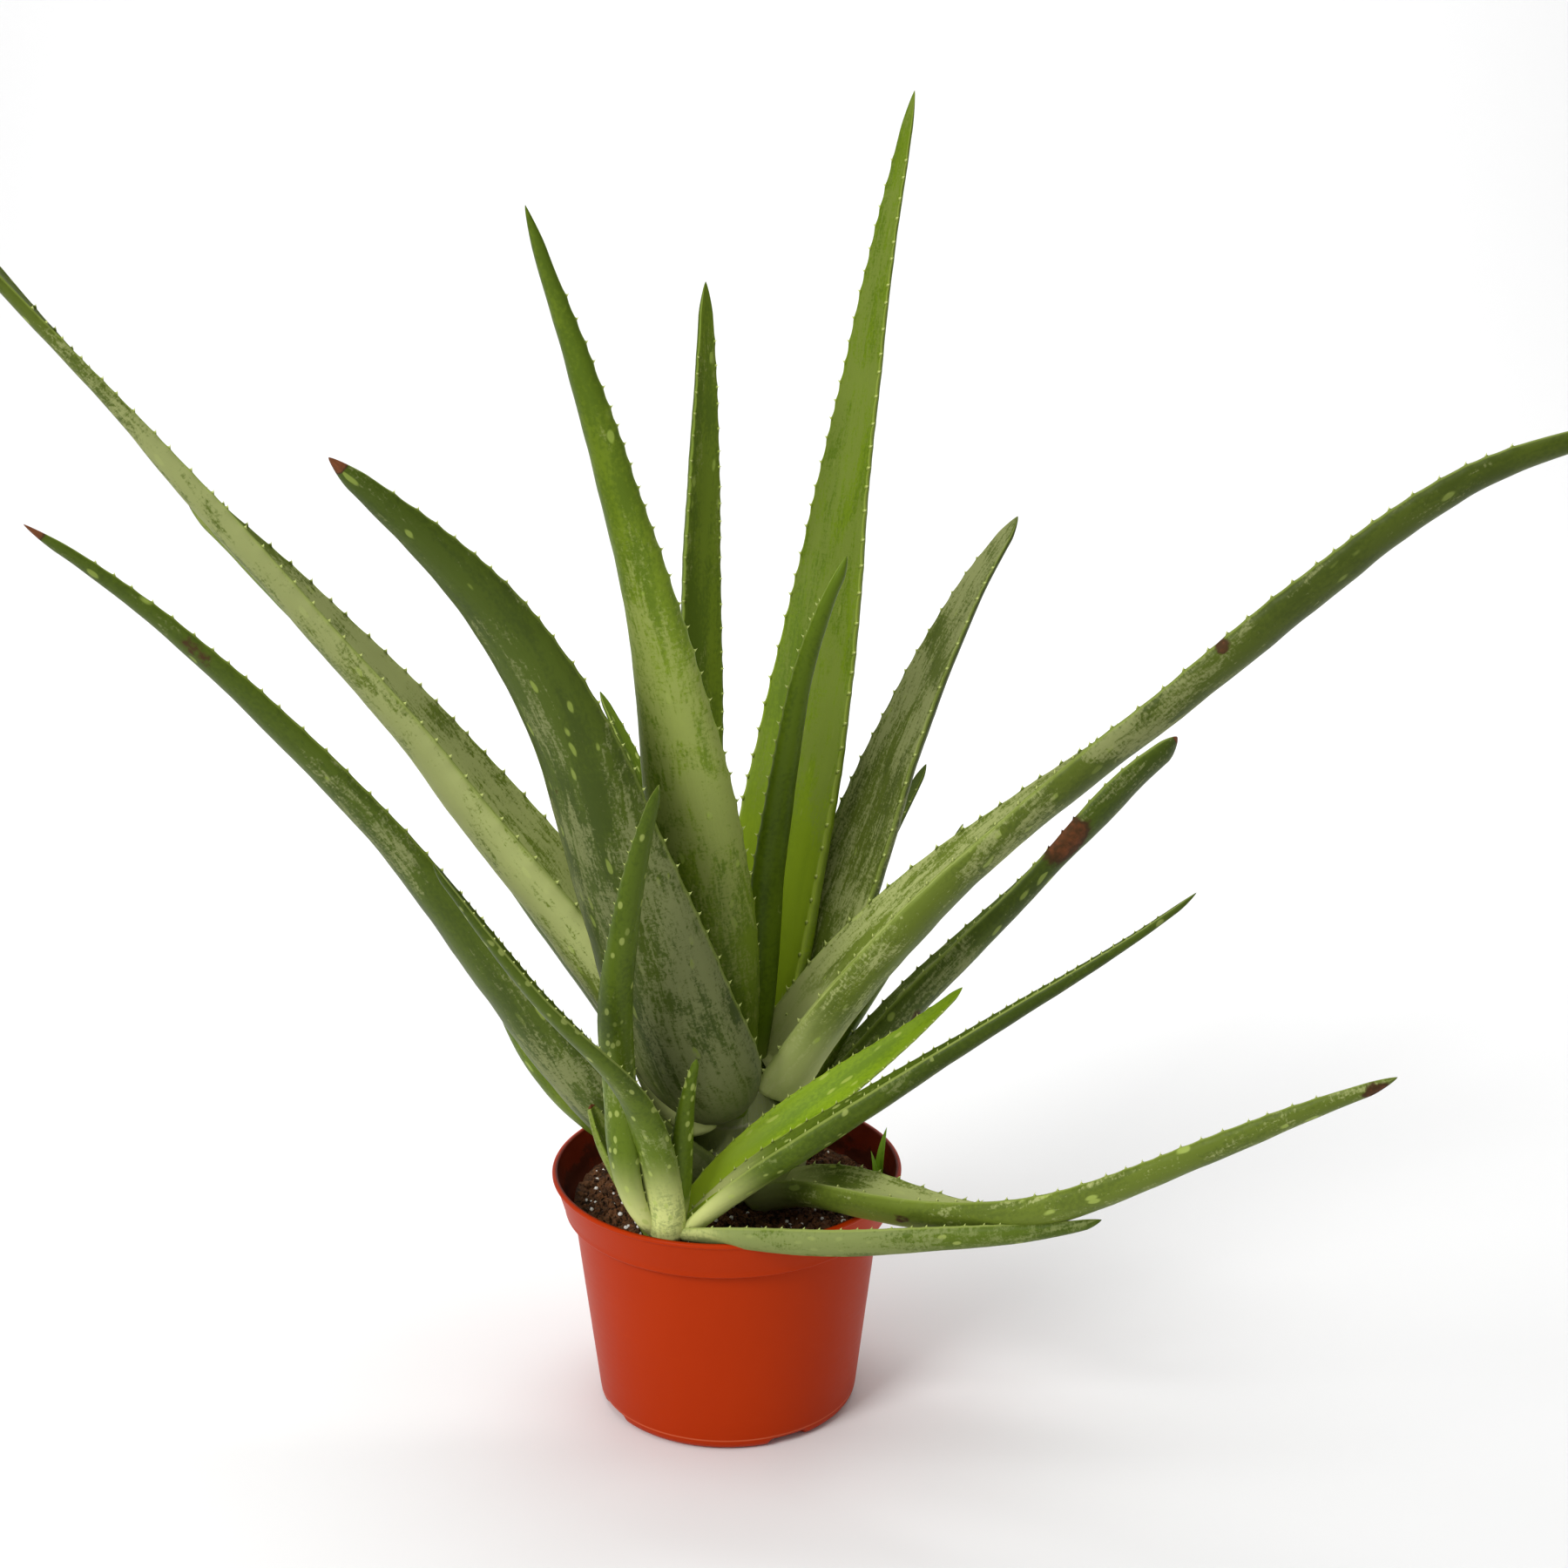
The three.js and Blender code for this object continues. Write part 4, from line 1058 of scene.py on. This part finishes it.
def stem_material():
    """Clasping leaf bases: pale green with long veins, and a papery line at each edge."""
    material, tree, surface = new_material("leaf_base_sheath")
    place, edge = attribute(tree, "place"), attribute(tree, "edge", "Fac")
    growth = place_group(tree, "growth", {
        "Place": place, "Foot": (0.36, 0.40, 0.14, 1), "Body": (0.28, 0.35, 0.09, 1),
        "Deep": (0.16, 0.22, 0.04, 1), "Foot Reach": 0.01, "Patchiness": 0.9})
    bloom = place_group(tree, "bloom", {
        "Color": growth["Color"], "Bloom": (0.36, 0.40, 0.18, 1), "Amount": 0.45, "Place": place})
    colour = mix(tree, calc(tree, "MULTIPLY", edge, 0.7), bloom["Color"], (0.56, 0.54, 0.36, 1))
    relief = place_group(tree, "relief", {"Place": place, "Grooves": 0.8, "Dry": 0.2})
    plug(tree, surface, {
        "Base Color": colour, "Roughness": 0.55, "Normal": bumped(tree, relief["Height"], 0.4, 0.0006)})
    return material


def blade_surface(shoot):
    """A grass blade as flattened rings: it narrows as (1 - u^3), folds into a shallow V and nods
    outwards by BLADE_NOD u^2, for the share u of its length."""
    share = np.linspace(0, 0.995, BLADE_RINGS)[:, None]
    turn = np.linspace(0, 2 * np.pi, BLADE_COLUMNS, endpoint=False)[None, :]
    rise = shoot["rise"] - BLADE_NOD * share ** 2
    spine = shoot["foot"] + np.cumsum(direction(shoot["bearing"] + 0 * share, rise), axis=0)[:, 0] * (
        shoot["length"] / len(share))
    side = direction(np.array(shoot["bearing"] + 90.0), np.array(0.0))
    outward = direction(np.array(float(shoot["bearing"])), np.array(0.0))
    narrow = 1 - share ** 3
    across = np.cos(turn) * shoot["width"] / 2 * narrow
    depth = np.sin(turn) * shoot["thick"] / 2 * narrow ** 0.5 - 0.35 * np.abs(across) + 0 * share
    grid = spine[:, None] + side * across[..., None] + outward * depth[..., None]
    surface = closed_rings(grid, spine[0], spine[-1] + (0, 0, 0.2))
    u = np.concatenate([(share + 0 * turn).ravel(), [0.0, 1.0]])
    v = np.concatenate([(np.cos(turn) + 0 * share).ravel(), [0.0, 0.0]])
    place = np.stack([u * shoot["length"], v * shoot["width"] / 2, 0 * u], -1) * MM
    return surface, {"place": place, "share": np.stack([u, v, 0 * u], -1)}


def grass_material():
    """Fresh grass: a bright blade with close veins and a paler foot."""
    material, tree, surface = new_material("fresh_grass")
    place, share = attribute(tree, "place"), attribute(tree, "share")
    growth = place_group(tree, "growth", {
        "Place": place, "Share": share, "Foot": (0.45, 0.60, 0.10, 1), "Body": (0.32, 0.60, 0.02, 1),
        "Deep": (0.16, 0.36, 0.01, 1), "Foot Reach": 0.3, "Patchiness": 0.5})
    veins = node(tree, "ShaderNodeTexWave", {
        "Vector": stretch(tree, place, (0, 1800, 0)), "Scale": 1.0}, bands_direction="Y").outputs["Fac"]
    plug(tree, surface, {
        "Base Color": growth["Color"], "Roughness": 0.42, "Normal": bumped(tree, veins, 0.3, 0.0002)})
    return material


def add_stems_and_grass():
    sheath, fresh = stem_material(), grass_material()
    for number, (name, stem) in enumerate(STEMS.items()):
        surface, values = stem_surface(stem, np.random.default_rng(50 + number))
        add_piece(name, surface, sheath, [name], values)
    for name, shoot in SHOOTS.items():
        surface, values = blade_surface(shoot)
        add_piece(name, surface, fresh, [name], values)


add_stems_and_grass()

# ---------------------------------------------------------------- floor

FLOOR_REACH = 6.0              # metres to each side
WALL_START = 2.0               # metres behind the pot, where the floor sweeps up
SWEEP = 1.5                    # radius of the sweep


def add_backdrop():
    """Pale floor that sweeps up into a wall: a profile of (y, z) drawn out along x."""
    turn = np.linspace(0, 90, 40) * DEG
    sweep = np.stack([WALL_START + SWEEP * np.sin(turn), SWEEP - SWEEP * np.cos(turn)], -1)
    profile = np.concatenate([[(-FLOOR_REACH, 0)], sweep, [(WALL_START + SWEEP, FLOOR_REACH)]])
    points = [(x, y, z) for x in (-FLOOR_REACH, FLOOR_REACH) for y, z in profile]
    count = len(profile)
    faces = [(k, k + count, k + count + 1, k + 1) for k in range(count - 1)]
    mesh = bpy.data.meshes.new("backdrop")
    mesh.from_pydata(points, [], faces)
    mesh.polygons.foreach_set("use_smooth", np.ones(len(mesh.polygons), bool))
    material, tree, surface = new_material("backdrop_paper")
    plug(tree, surface, {"Base Color": (0.86, 0.86, 0.86, 1), "Roughness": 0.9})
    mesh.materials.append(material)
    backdrop = bpy.data.objects.new("backdrop", mesh)
    bpy.context.scene.collection.objects.link(backdrop)


add_backdrop()
